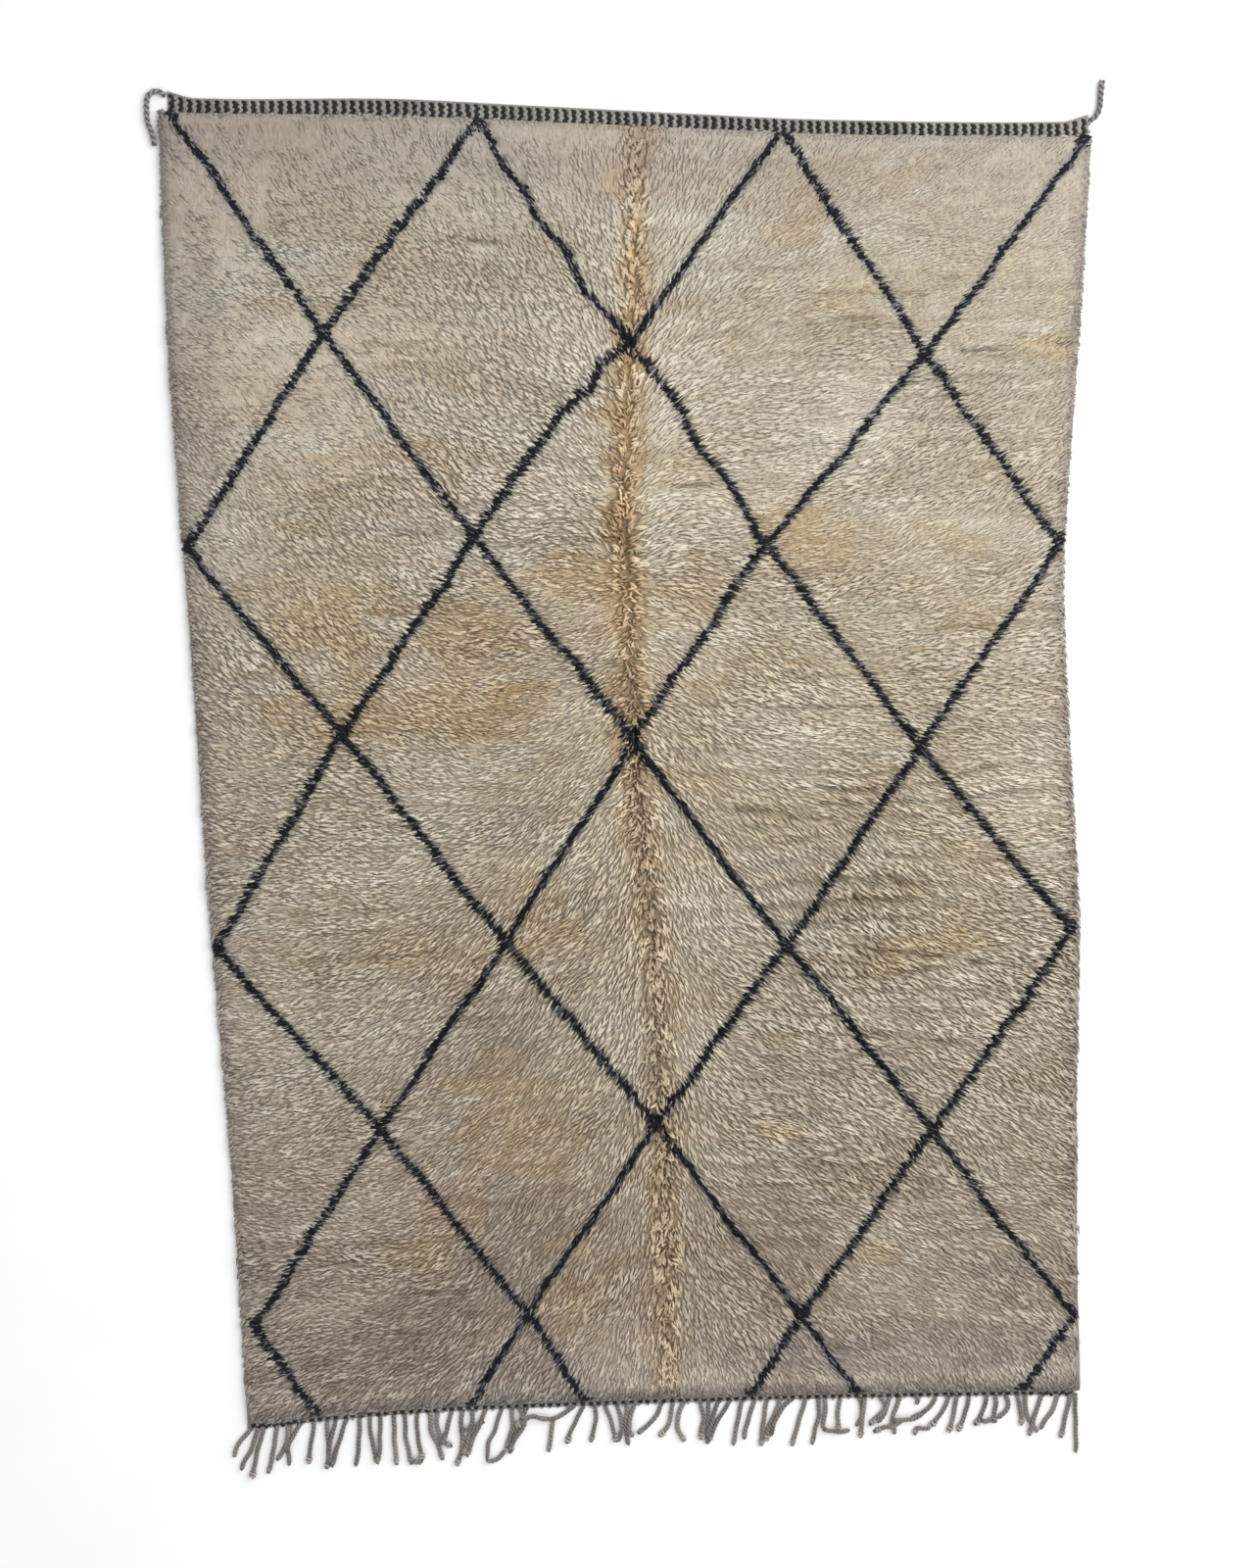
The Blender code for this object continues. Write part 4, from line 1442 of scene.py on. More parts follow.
@dataclass(frozen=True)
class Pile:
    """The cream wool and the black lattice."""

    row_pitch: float = 0.0100
    knot_pitch: float = 0.0093
    scatter: float = 0.42  # how far a knot strays, as a share of the pitch
    # how far a lock leans out from its root, and how much that varies
    reach: Pair = (0.041, 0.0035)
    width: Pair = (0.0041, 0.15)  # half the width of a lock, and how much more at the parting
    # half the thickness of a lock, and how much more at the parting
    thick: Pair = (0.0021, 0.3)
    gather: float = 0.09  # how strongly the tips of a clump are drawn together
    curl_gather: float = 0.34  # how much more strongly where the wool is curly
    parting_gather: float = 0.40  # how much more strongly at the parting
    ground: float = 0.0030
    # where one piece of the pile ends and the next begins
    bands: tuple[float, ...] = (-2.0, -0.86, -0.26, 0.34, 0.94, 2.0)
    names: tuple[str, ...] = ("pile_foot", "pile_lower", "pile_middle", "pile_upper", "pile_head")
    curls: Wander = Wander(33, 0.20, 0.11)
    rims: Wander = Wander(32, 0.05, 0.05)  # where it hangs further over the sides
    lie: Lie = Lie()
    gaps: Gaps = Gaps()
    dye: Dye = Dye()
    clumps: Clumps = Clumps()
    heights: Heights = Heights()
    lattice: Lattice = Lattice()

    def _roots(self, dice: Dice) -> Array:
        """Places the knots in rows, a little unevenly.

        Args:
            dice: Random numbers.

        Returns:
            x and y of each knot.
        """
        across = np.arange(-1.06, 1.06, self.knot_pitch)
        along = np.arange(-1.48, 1.56, self.row_pitch)
        x, y = np.meshgrid(across, along)
        x = x + (np.arange(len(along)) % 2 * self.knot_pitch / 2)[:, None]
        x = x.ravel() + dice.uniform(-self.scatter, self.scatter, x.size) * self.knot_pitch
        y = y.ravel() + dice.uniform(-self.scatter, self.scatter, y.size) * self.row_pitch
        left, right, foot, head = inside(x, y)
        at_side, at_end = 0.001, 0.002
        kept = (left > at_side) & (right > at_side) & (foot > at_end) & (head > at_end)
        return np.stack([x[kept], y[kept]], axis=1)

    def _tufts(self, dice: Dice) -> Array:
        """Places extra knots beside the parting, whose locks meet across it.

        Args:
            dice: Random numbers.

        Returns:
            x and y of each knot.
        """
        y = np.repeat(np.arange(-1.42, 1.49, 0.0085), 3)
        y = y + dice.uniform(-0.004, 0.004, len(y))
        side = np.where(np.arange(len(y)) % 2 == 0, 1.0, -1.0)
        x = -from_parting(np.zeros(len(y)), y) + side * dice.uniform(0.001, 0.013, len(y))
        return np.stack([x, y], axis=1)

    def settle(
        self, roots: Array, reach: Array, width: Any, thick: Any, rise: Any, dice: Dice
    ) -> Wool:
        """Lays a crowd of locks by the lie, the clumps and the edges.

        Args:
            roots: Where the locks are knotted.
            reach: How far each one leans out.
            width: Half the width of a lock.
            thick: Half the thickness of a lock.
            rise: Extra height.
            dice: Random numbers.

        Returns:
            The crowd, in the colours of the pile, with painted shade and light.
        """
        count = len(roots)
        lie = self.lie.at(*roots.T, dice.normal(0, 1, count))
        near = at_parting(*roots.T, 0.05)
        turn = np.radians(dice.normal(0, 1, count) * (6 + 16 * near))
        cos, sin = np.cos(turn), np.sin(turn)
        lie = np.stack([lie[:, 0] * cos - lie[:, 1] * sin, lie[:, 0] * sin + lie[:, 1] * cos], axis=1)
        tips = roots + lie * reach[:, None]
        offset, mark = self.clumps.find(tips, lie)
        mark = mark - 0.5
        deep = self.gaps.at(*roots.T)
        curly = smooth_step(0.5 + self.curls.at(*roots.T))
        draw = self.gather * deep + self.curl_gather * curly + self.parting_gather * near
        tips = self._hold(tips + offset * draw[:, None], dice)
        tall = 1 + (0.045 * dice.normal(0, 1, count) + 0.16 * mark) * Follow(0.4, 0.6).at(deep)
        middle = self.ground + self.heights.at(*(roots + (tips - roots) * BELLY_AT).T) * tall + rise
        drop = dice.uniform(0.02, 0.20, count) * Follow(0.3, 0.7).at(deep)
        end = self.ground + self.heights.at(*tips.T) * (tall - drop) + rise
        shown = (roots + (tips - roots) * 0.6).T
        # painted shade and light: the pile's shade and the gaps' light scale are multiplied into each lock's
        # colour
        tone = self.dye.at(*shown) * self.heights.shade(*shown) ** SHADE_POWER
        tone = tone * self.gaps.light.at(deep)[:, None]
        fleck = (0.34 * mark + dice.normal(0, 0.07, count)) * deep
        tone = blend(tone, Tone.PALE, fleck * (1 - 0.6 * near))
        light = 1 + (0.20 * mark + dice.normal(0, 0.045, count)) * deep
        # painted highlight: locks at the parting are lighter, most in the lighter clumps
        light = light + (0.06 + 0.30 * mark) * near
        return Wool(
            roots, tips, middle, np.maximum(end, 0.0022),
            width * Follow(1.32, -0.32, 0.80, 1.25).at(deep) * dice.uniform(0.8, 1.2, count),
            thick * Follow(0.4, 0.6, 0.5, 1.4).at(deep) * dice.uniform(0.8, 1.2, count),
            dice.normal(0, 0.0022, count), tone * light[:, None], deep,
        )

    def _hold(self, tips: Array, dice: Dice) -> Array:
        """Keeps tips from hanging too far over the edges.

        Args:
            tips: Where the tips would lie.
            dice: Random numbers.

        Returns:
            Where they lie.
        """
        x, y = tips.T
        count = len(x)
        foot = read_table(FOOT_LINE, x)
        y = np.maximum(y, foot + dice.uniform(0.0020, 0.0060, count))
        y = np.minimum(y, read_table(HEAD_LINE, x) + dice.uniform(-0.003, 0.004, count))
        far, wander, vary = 0.010, 0.003, 0.0015
        hang = far + wander * self.rims.at(x, y) + dice.uniform(-vary, vary, count)
        hang = hang - 0.016 * fade(y - foot, 0.05)
        x = np.maximum(x, read_table(SIDE_EDGES, y, 1) - hang)
        x = np.minimum(x, read_table(SIDE_EDGES, y, 2) + hang)
        return np.stack([x, y], axis=1)

    def _cream(self, dice: Dice) -> Wool:
        """Lays the cream locks, and leaves out those in a black line.

        Args:
            dice: Random numbers.

        Returns:
            The locks.
        """
        roots = self._roots(dice)
        near = at_parting(*roots.T, 0.045)
        reach = dice.normal(*self.reach, len(roots)) * (1 - 0.35 * near)
        tufts = self._tufts(dice)
        near = np.concatenate([near, np.full(len(tufts), 2.0)])
        reach = np.concatenate([reach, dice.normal(0.027, 0.003, len(tufts))])
        roots = np.concatenate([roots, tufts])
        width, thick = (size * (1 + more * near) for size, more in (self.width, self.thick))
        wool = self.settle(roots, reach, width, thick, 0.0016 * np.maximum(near - 1, 0), dice)
        shown = wool.roots + (wool.tips - wool.roots) * 0.62
        away = self.lattice.reach(*shown.T) - self.lattice.half_width
        wool.tone[:] = self.lattice.smudge(wool.tone, away)
        return wool.part(away > 0)

    def build(self) -> list[Piece]:
        """Builds the cream pile in bands and the black lattice.

        Returns:
            The pieces.
        """
        dice = np.random.default_rng(7)
        lock = Lock()
        wool = self._cream(dice)
        pieces = []
        finish = LooseWool("cream_wool").make()
        for name, low, high in zip(self.names, self.bands, self.bands[1:]):
            here = (wool.roots[:, 1] >= low) & (wool.roots[:, 1] < high)
            pieces.append(lock.grow(name, wool.part(here), self.ground, self.heights))
            dress(pieces[-1], finish, "wool_pile")
        bed = WoolBed().build(self)
        dress(bed, finish, "wool_pile")
        black = lock.grow("black_lattice", BlackWool().lay(self, dice), self.ground, self.heights)
        black_wool = LooseWool("black_wool", root_light=0.6, tip_light=1.2, sheen=0.03).make()
        dress(black, black_wool, "wool_pile")
        return [*pieces, bed, black]


@dataclass(frozen=True)
class BlackWool:
    """The thin black locks along the lattice: a dense core, long teeth over it, and fuller crossings."""

    core_pitch: float = 0.0053  # distance between pairs of core locks
    core_side: float = 0.0028  # how far the two of a pair stand from the line
    tooth_pitch: float = 0.0095  # distance between bundles of long locks
    teeth: int = 3
    node_locks: int = 26
    reach: Pair = (0.022, 0.003)  # how far a core lock leans out, and how much that varies
    tooth_reach: Pair = (0.034, 0.004)
    width: float = 0.0028
    thick: float = 0.0026
    smoke: float = 0.30  # share of the long locks that are grey

    def _spots(self, lines: list[Array], dice: Dice) -> tuple[Array, Array]:
        """Spreads the locks over the lines and their crossings.

        Args:
            lines: Points of each line.
            dice: Random numbers.

        Returns:
            Where each lock shows, and whether it is a long one.
        """
        core, teeth = (
            np.concatenate([along_line(line, np.arange(0, travel(line)[-1], pitch)) for line in lines])
            for pitch in (self.core_pitch, self.tooth_pitch)
        )
        x = core[:, None, 0] + dice.normal(0, 0.0014, (len(core), 2))
        x = (x + np.array([-self.core_side, self.core_side])).ravel()
        y = (core[:, None, 1] + dice.normal(0, 0.0014, (len(core), 2))).ravel()
        teeth = teeth + dice.normal(0, 0.0022, teeth.shape)
        teeth = np.repeat(teeth, self.teeth, axis=0)
        teeth = teeth + dice.normal(0, 0.0013, teeth.shape)
        nodes = [node + dice.normal(0, 0.0075, (self.node_locks, 2)) for node in lattice_nodes()]
        spots = np.concatenate([np.stack([x, y], axis=1), teeth, *nodes])
        order = np.arange(len(spots))
        return spots, (order >= len(x)) & (order < len(x) + len(teeth))

    def lay(self, pile: Pile, dice: Dice) -> Wool:
        """Lays the black locks into the pile.

        Args:
            pile: The cream pile.
            dice: Random numbers.

        Returns:
            The black locks.
        """
        spots, long = self._spots(pile.lattice.lines(), dice)
        left, right, foot, head = inside(*spots.T)
        side, at_foot, at_head = -0.004, 0.004, -0.001
        kept = (left > side) & (right > side) & (foot > at_foot) & (head > at_head)
        spots, long = spots[kept], long[kept]
        count = len(spots)
        reach = np.where(long, dice.normal(*self.tooth_reach, count), dice.normal(*self.reach, count))
        roots = spots - pile.lie.at(*spots.T) * (reach * 0.62)[:, None]
        wool = pile.settle(roots, reach, self.width, self.thick, 0.0010, dice)
        wool.tone[:] = np.array(Tone.BLACK.value) * dice.uniform(0.6, 2.4, count)[:, None]
        smoky = long & (dice.uniform(0, 1, count) < self.smoke)
        greys = dice.uniform(0.5, 1.2, smoky.sum())
        wool.tone[smoky] = np.array(Tone.SMOKE.value) * greys[:, None]
        wool.deep[:] = 1.0
        return wool


@dataclass(frozen=True)
class WoolBed:
    """The felted lower part of the pile, which shows between the locks."""

    cell: float = 0.0175
    share: float = 0.80  # its height as a share of the pile's
    tuft: float = 0.0010
    hang: float = 0.006
    lumps: Wander = Wander(31, 0.02, 0.02)

    def build(self, pile: Pile) -> Piece:
        """Builds the bed.

        Args:
            pile: The pile, which gives its heights and colours.

        Returns:
            The bed, closed below.
        """
        bed, u, v = add_grid("pile_bed", round(2.0 / self.cell), round(3.0 / self.cell))
        x, y = spread_over_cloth(u, v, 0.001, self.hang)
        deep = pile.gaps.at(x, y)
        shut, wide = np.clip(1 - deep, 0, 1), np.clip(deep - 1, 0, 1)
        curly = smooth_step(0.5 + pile.curls.at(x, y))
        share = self.share + 0.27 * shut - 0.28 * wide
        share = share * (1 - 0.22 * curly * (1 - shut))
        share = share * (1 - 0.4 * at_parting(x, y, 0.04))
        move_points(bed, x, y, pile.ground + pile.heights.at(x, y) * share + self.tuft * self.lumps.at(x, y))
        # painted shade and light: the pile's shade and the gaps' light scale darken the bed's colour
        tone = pile.dye.at(x, y) * pile.heights.shade(x, y) * pile.gaps.light.at(deep)[:, None]
        away = pile.lattice.reach(x, y) - pile.lattice.half_width
        tone = pile.lattice.smudge(tone, away)
        tone[away < 0] = Tone.BLACK.value
        paint(bed, "wool", tone)
        # painted shade: the bed is darker where the gaps are deep
        paint(bed, "along", 1 - 0.72 * deep)
        lay_map(bed, "Strand", np.stack([x, y], axis=1) / 0.03)
        bpy.ops.object.mode_set(mode="EDIT")
        bpy.ops.mesh.select_all(action="SELECT")
        bpy.ops.mesh.region_to_loop()
        bpy.ops.mesh.extrude_region_move()
        bpy.ops.transform.resize(value=(1, 1, 0), center_override=(0, 0, pile.ground), orient_type="GLOBAL")
        bpy.ops.mesh.edge_face_add()
        bpy.ops.mesh.select_all(action="SELECT")
        bpy.ops.mesh.normals_make_consistent(inside=False)
        bpy.ops.object.mode_set(mode="OBJECT")
        bpy.ops.object.shade_smooth()
        return bed


@dataclass(frozen=True)
class GroundCloth:
    """The woven ground that the locks are knotted into, a flat closed cloth."""

    bottom: float = 0.0004
    top: float = 0.0034
    across: int = 40
    along: int = 60

    def build(self, pile: list[Piece]) -> Piece:
        """Builds the cloth.

        Args:
            pile: The pieces of wool knotted into it; not used.

        Returns:
            The cloth.
        """
        cloth, u, v = add_grid("ground_cloth", self.across, self.along)
        move_points(cloth, *spread_over_cloth(u, v, GAP, 0.0), self.top)
        thicken(cloth, self.top - self.bottom)
        bpy.ops.object.shade_smooth_by_angle(angle=math.radians(40))
        # its brown, darker than the wool, is partly painted shade for where it shows deep between the locks
        weave = PlainWeave("ground_weave", (0.42, 0.36, 0.27), (0.20, 0.16, 0.11)).make()
        dress(cloth, weave, "wool_pile", "pile_field")
        return cloth


# ---------------------------------------------------------------------------------------------
# Yarns: twisted strands and their knots, the corner cords and the fringe.


@dataclass
class Skein:
    """Round yarns that are drawn as lines and made one mesh."""

    sides: int = 1
    runs: list[tuple[Array, Array]] = field(default_factory=list)
    # middle lines of the twisted pairs, in whose grooves painted shade makes the yarn darker
    cores: list[Array] = field(default_factory=list)

    def add(self, points: Array, radii: Array | float) -> None:
        """Adds one yarn, clear of the floor.

        Args:
            points: Its middle line.
            radii: Its radius, one or one for each point.
        """
        radii = np.broadcast_to(radii, len(points))
        height = np.maximum(points[:, 2], radii + 2 * GAP)
        self.runs.append((np.column_stack([points[:, :2], height]), radii))

    def twist(
        self, path: Array, ply: float, offset: float, lay: float,
        ends: float = 1.0, start: float = 0.0, flat: float = 1.0, swell: float = 1.0,
    ) -> None:
        """Adds two yarns twisted round each other along a path.

        Args:
            path: The middle line of the pair.
            ply: Radius of each yarn.
            offset: Distance of each yarn from the middle line.
            lay: Length of one full turn.
            ends: Radius at the far end, as a share.
            start: Turn at the start, in radians.
            flat: Height of the pair as a share of its width.
            swell: Thickness at the far end, as a share.
        """
        self.cores.append(path)
        ahead = unit(np.gradient(path, axis=0))
        side = unit(np.cross(ahead, UP))
        over = np.cross(side, ahead)
        travelled = travel(path)
        share = travelled / travelled[-1]
        grow = 1 + (swell - 1) * share**2
        thinner = (1 - ends) * np.maximum(share - 0.93, 0) / 0.07
        for half in (0.0, math.pi):
            turn = start + half + math.tau * travelled / lay
            aside, above = np.cos(turn) * offset * grow, np.sin(turn) * offset * grow * flat
            self.add(path + (side * aside[:, None] + over * above[:, None]), ply * grow * (1 - thinner))

    def make(self, name: str) -> Piece:
        """Makes one mesh of all the yarns.

        Args:
            name: The piece's name.

        Returns:
            The piece.
        """
        curve = bpy.data.curves.new(name, "CURVE")
        curve.dimensions = "3D"
        curve.bevel_depth = 1.0
        curve.bevel_resolution = self.sides
        curve.use_fill_caps = True
        for points, radii in self.runs:
            spline = curve.splines.new("POLY")
            spline.points.add(len(points) - 1)
            places = np.column_stack([points, np.ones(len(points))])
            spline.points.foreach_set("co", places.astype(np.float32).ravel())
            spline.points.foreach_set("radius", radii.astype(np.float32))
        piece = bpy.data.objects.new(name, curve)
        bpy.context.scene.collection.objects.link(piece)
        bpy.ops.object.select_all(action="DESELECT")
        piece.select_set(True)
        bpy.context.view_layer.objects.active = piece
        bpy.ops.object.convert(target="MESH")
        piece = bpy.context.object
        piece.name = piece.data.name = name
        bpy.ops.object.mode_set(mode="EDIT")
        bpy.ops.mesh.select_all(action="SELECT")
        bpy.ops.mesh.remove_doubles(threshold=SMALL)
        bpy.ops.mesh.normals_make_consistent(inside=False)
        bpy.ops.object.mode_set(mode="OBJECT")
        bpy.ops.object.shade_smooth_by_angle(angle=math.radians(60.0))
        self._shade(piece)
        return piece

    def _shade(self, piece: Piece) -> None:
        """Stores how far each point stands out of the grooves, from 0 to 1, which sets the painted shade in
        them.

        Args:
            piece: The mesh of the yarns.
        """
        fine = []
        for core in self.cores:
            halves = np.arange(0, len(core) - 0.5, 0.5)
            fine += [np.interp(halves, np.arange(len(core)), column) for column in core.T]
        middle = np.stack([np.concatenate(fine[axis::3]) for axis in range(3)], axis=1)
        tree = KDTree(len(middle))
        for i, point in enumerate(middle):
            tree.insert(point, i)
        tree.balance()
        away = np.array([tree.find(vertex.co)[2] for vertex in piece.data.vertices])
        paint(piece, "proud", np.clip(away / (2 * max(radii.max() for _, radii in self.runs)), 0, 1))


@dataclass(frozen=True)
class Knot:
    """A pulled knot: a yarn wound round the strand, with its end tucked aside."""

    yarn: float = 0.0030
    flat: float = 0.72  # its height as a share of its width

    def tie(self, skein: Skein, centre: Array, ahead: Array, size: float, turn: float) -> None:
        """Adds the knot to a skein, raised clear of the floor.

        Args:
            skein: The skein.
            centre: The middle of the knot.
            ahead: The way the strand runs.
            size: Its half width.
            turn: Turn at the start, in radians.
        """
        lowest = self.flat * (size - self.yarn) + self.yarn + 0.0004
        centre = np.array([*centre[:2], max(centre[2], lowest)])
        ahead = ahead / np.linalg.norm(ahead)
        side = np.cross(ahead, UP)
        t = np.linspace(0, 1, 20)
        to_end = np.abs(2 * t - 1)
        angle = turn + t * math.tau * 1.9
        reach = (size - self.yarn) * (1 - 0.25 * to_end**3)
        place = centre + np.outer(np.cos(angle) * reach, side)
        place = place + np.outer(np.sin(angle) * reach * self.flat, UP)
        place = place + np.outer((t - 0.5) * size * 1.5, ahead)
        skein.add(place, self.yarn * (1 - 0.35 * to_end**6))
        skein.cores.append(centre[None])


class FarEnd(Enum):
    """How the far end of a cord is finished."""

    BARE = "bare"
    KNOT = "knot"


@dataclass(frozen=True)
class CornerCord:
    """A short twisted cord at a head corner, lying on the floor."""

    name: str  # the name of the solid it stands for, with which its own begins
    route: Table  # its way over the floor, starting beside the band's corner
    far_end: FarEnd
    end_swell: float = 1.0  # thickness of its far end, as a share
    radius: float = 0.0062
    ply: float = 0.56  # radius of each yarn, as a share of that
    offset: float = 0.50  # distance of a yarn from the middle, as a share of that
    lay: float = 0.026  # length of one full turn of its yarns
    step: float = 0.0022
    divisions: int = 20

    def path(self) -> Array:
        """Draws its middle line.

        Returns:
            Evenly spaced points.
        """
        way = smooth_route(np.array(self.route), self.divisions)
        height = 1.16 * self.radius * self.end_swell
        return at_height(along_line(way, even_marks(way, self.step)), height)

    def build(self, finish: Material) -> Piece:
        """Args:
            finish: Its yarn.

        Returns:
            The cord.
        """
        path = self.path()
        skein = Skein(sides=2)
        ply, offset = self.radius * self.ply, self.radius * self.offset
        skein.twist(path, ply, offset, self.lay, ends=0.75, swell=self.end_swell)
        cord = skein.make(self.name + "_yarn")
        dress(cord, finish, "corner_cord", self.name)
        return cord


@dataclass(frozen=True)
class Fringe:
    """The knotted strands of the warp across the foot."""

    ply: float = 0.0037
    offset: float = 0.0027
    lay: float = 0.0185
    low: float = 0.0062
    over: float = 0.0066  # how much higher a strand lies where it crosses another
    near: float = 0.0115
    rooted: float = 0.026  # strands that start nearer to the pile than this come out of the strip
    step: float = 0.0037
    # radius at the far end of a loose strand and of a knotted one, as a share
    ends: Pair = (0.25, 0.6)
    knots: Triple = (0.0, 0.0072, 0.0088)  # half width of each size of knot
    knot_at: int = 4  # points from a strand's end to its knot
    knot: Knot = Knot()

    def _path(self, row: tuple[float, ...], dice: Dice) -> Array:
        """Draws the middle line of a strand over the floor.

        Args:
            row: The strand's row of the table.
            dice: Random numbers.

        Returns:
            Points of the line.
        """
        way = np.array(row[:8]).reshape(4, 2) / 1000
        foot = float(read_table(FOOT_LINE, way[0, 0]))
        if foot - way[0, 1] < self.rooted:
            way[0, 1] = foot - 0.0105
        way = smooth_route(way, 10)
        marks = even_marks(way, self.step, 6)
        line = along_line(way, marks)
        far, length = 0.0007, 0.009
        line[:, 0] += far * np.sin(marks / length + dice.uniform(0, 6))
        return at_height(line, self.low)

    def _rise(self, path: Array, laid: Array) -> Array:
        """Finds how far a strand is raised to cross those under it.

        Args:
            path: Points of the strand.
            laid: Points of the strands laid before it.

        Returns:
            The rise of each point, from 0 to 1.
        """
        apart = np.linalg.norm(path[:, None, :2] - laid[None, :, :2], axis=2).min(axis=1)
        rise = np.pad(smooth_step((self.near - apart) / 0.004), 2, mode="edge")
        return np.convolve(rise, np.full(5, 0.2), mode="valid")

    def build(self, finish: Material) -> Piece:
        """Builds the strands with their knots and loose ends.

        Args:
            finish: Their yarn.

        Returns:
            The fringe.
        """
        dice = np.random.default_rng(5)
        skein = Skein()
        laid = np.full((1, 3), math.inf)
        for row in STRANDS:
            path = self._path(row, dice)
            path[:, 2] += self.over * self._rise(path, laid)
            laid = np.concatenate([laid, path])
            lay = self.lay * dice.uniform(0.92, 1.1)
            ply = self.ply * dice.uniform(0.92, 1.08)
            knot = int(row[8])
            ends, start = self.ends[knot > 0], dice.uniform(0, 6)
            skein.twist(path, ply, self.offset, lay, ends=ends, start=start, flat=0.55)
            if knot:
                size = self.knots[knot] * dice.uniform(0.9, 1.12)
                ahead = path[1 - self.knot_at] - path[-1 - self.knot_at]
                self.knot.tie(skein, path[-self.knot_at], ahead, size, dice.uniform(0, 6))
        fringe = skein.make("knotted_fringe")
        dress(fringe, finish, "warp_fringe", "foot_fringe")
        return fringe


# ---------------------------------------------------------------------------------------------
# Twined band and foot stitches.


@dataclass(frozen=True)
class Stitch:
    """A short stitch of yarn, a flattened grain, which is laid many times."""

    half: Triple  # half its length, width and thickness

    def _model(self) -> Form:
        """Models the grain.

        Returns:
            The grain, one metre half long in every direction.
        """
        bpy.ops.object.select_all(action="DESELECT")
        bpy.ops.mesh.primitive_uv_sphere_add(segments=6, ring_count=5, radius=1.0)
        grain = bpy.context.object
        bpy.ops.object.mode_set(mode="EDIT")
        bpy.ops.mesh.select_all(action="SELECT")
        bpy.ops.mesh.quads_convert_to_tris()
        bpy.ops.object.mode_set(mode="OBJECT")
        return Form.of(grain)

    def lay(self, places: Array, height: float, angles: Array, dice: Dice) -> Form:
        """Lays many stitches.

        Args:
            places: Where their middles are, x and y.
            height: How high their middles are.
            angles: The way each one points, in radians.
            dice: Random numbers, for slightly uneven sizes.

        Returns:
            All the stitches.
        """
        count = len(angles)
        size = dice.uniform(0.9, 1.1, (count, 3)) * self.half
        cos, sin, zero = np.cos(angles), np.sin(angles), np.zeros(count)
        rows = ((cos, sin, zero), (-sin, cos, zero), (zero, zero, np.ones(count)))
        axes = np.array(rows).transpose(2, 0, 1) * size[:, :, None]
        return self._model().stamp(at_height(places, height), axes)


@dataclass(frozen=True)
class HeadBand:
    """The twined band across the head: columns of black stitches on grey cream, and a corded rim."""

    columns: int = 105
    left: float = -1.008
    right: float = 1.012
    base_top: float = 0.0036
    stack: int = 5
    rim_share: float = 0.15  # share of the band's width that the plain rim takes
    drifts: Wander = Wander(51, 0.07, 1.0)
    black: Stitch = Stitch((0.0064, 0.0048, 0.0026))
    pale: Stitch = Stitch((0.0044, 0.0056, 0.0018))
    # radius of its two yarns, their distance from its middle and the length of a turn
    rim_yarn: Triple = (0.0019, 0.0014, 0.0125)

    def _cloth(self) -> Form:
        """Models the cloth under the stitches.

        Returns:
            The cloth.
        """
        cloth, u, v = add_grid("band_cloth", 210, 2)
        x = self.left + (self.right - self.left) * u
        width = read_table(HEAD_LINE, x, 2) - 0.003
        move_points(cloth, x, read_table(HEAD_LINE, x) + GAP + width * v, self.base_top)
        thicken(cloth, self.base_top - GAP)
        return Form.of(cloth)

    def _stacks(self, places: Array, stitch: Stitch, dice: Dice) -> Form:
        """Stacks slanting stitches into columns.

        Args:
            places: Where the columns stand along the band.
            stitch: The stitch.
            dice: Random numbers.

        Returns:
            All the stitches of the columns.
        """
        middles, angles = [], []
        aside, stray = 0.0013, 0.0009
        for k in range(self.stack):
            way = 1 if k % 2 else -1
            x = places + dice.normal(0, stray, len(places)) + way * aside
            share = (k + 0.5) / self.stack * (1 - self.rim_share)
            y = read_table(HEAD_LINE, x) + GAP + read_table(HEAD_LINE, x, 2) * share
            middles.append(np.stack([x, y + dice.normal(0, 0.0005, len(x))], axis=1))
            angles.append(way * 0.50 + dice.normal(0, 0.16, len(x)))
        return stitch.lay(np.concatenate(middles), self.base_top + 0.0002, np.concatenate(angles), dice)

    def _rim(self) -> Piece:
        """Builds the cord along the far edge.

        Returns:
            The cord.
        """
        x = np.linspace(self.left, self.right, 620)
        y = read_table(HEAD_LINE, x) + read_table(HEAD_LINE, x, 2) - 0.0032
        rim = Skein()
        rim.twist(at_height(np.stack([x, y], axis=1), 0.0036), *self.rim_yarn, flat=0.8)
        return rim.make("band_rim")

    def build(self, pale: Material, black: Material) -> list[Piece]:
        """Builds the band.

        Args:
            pale: Finish of the cloth, the pale stitches and the rim.
            black: Finish of the black stitches.

        Returns:
            The pale cloth with its stitches, the black stitches and the rim.
        """
        dice = np.random.default_rng(8)
        pitch = (self.right - self.left) / self.columns
        places = self.left + (np.arange(self.columns) + 0.5) * pitch
        places = places + 0.0016 * self.drifts.at(places, places * 0)
        dark = self._stacks(places, self.black, dice)
        light = self._stacks(places + pitch / 2, self.pale, dice)
        band = make_piece("band_ground", join([self._cloth(), light]))
        dress(band, pale, "twined_band", "head_band")
        stitches = make_piece("band_black_stitches", dark)
        dress(stitches, black, "twined_band")
        rim = self._rim()
        dress(rim, pale, "twined_band")
        return [band, stitches, rim]


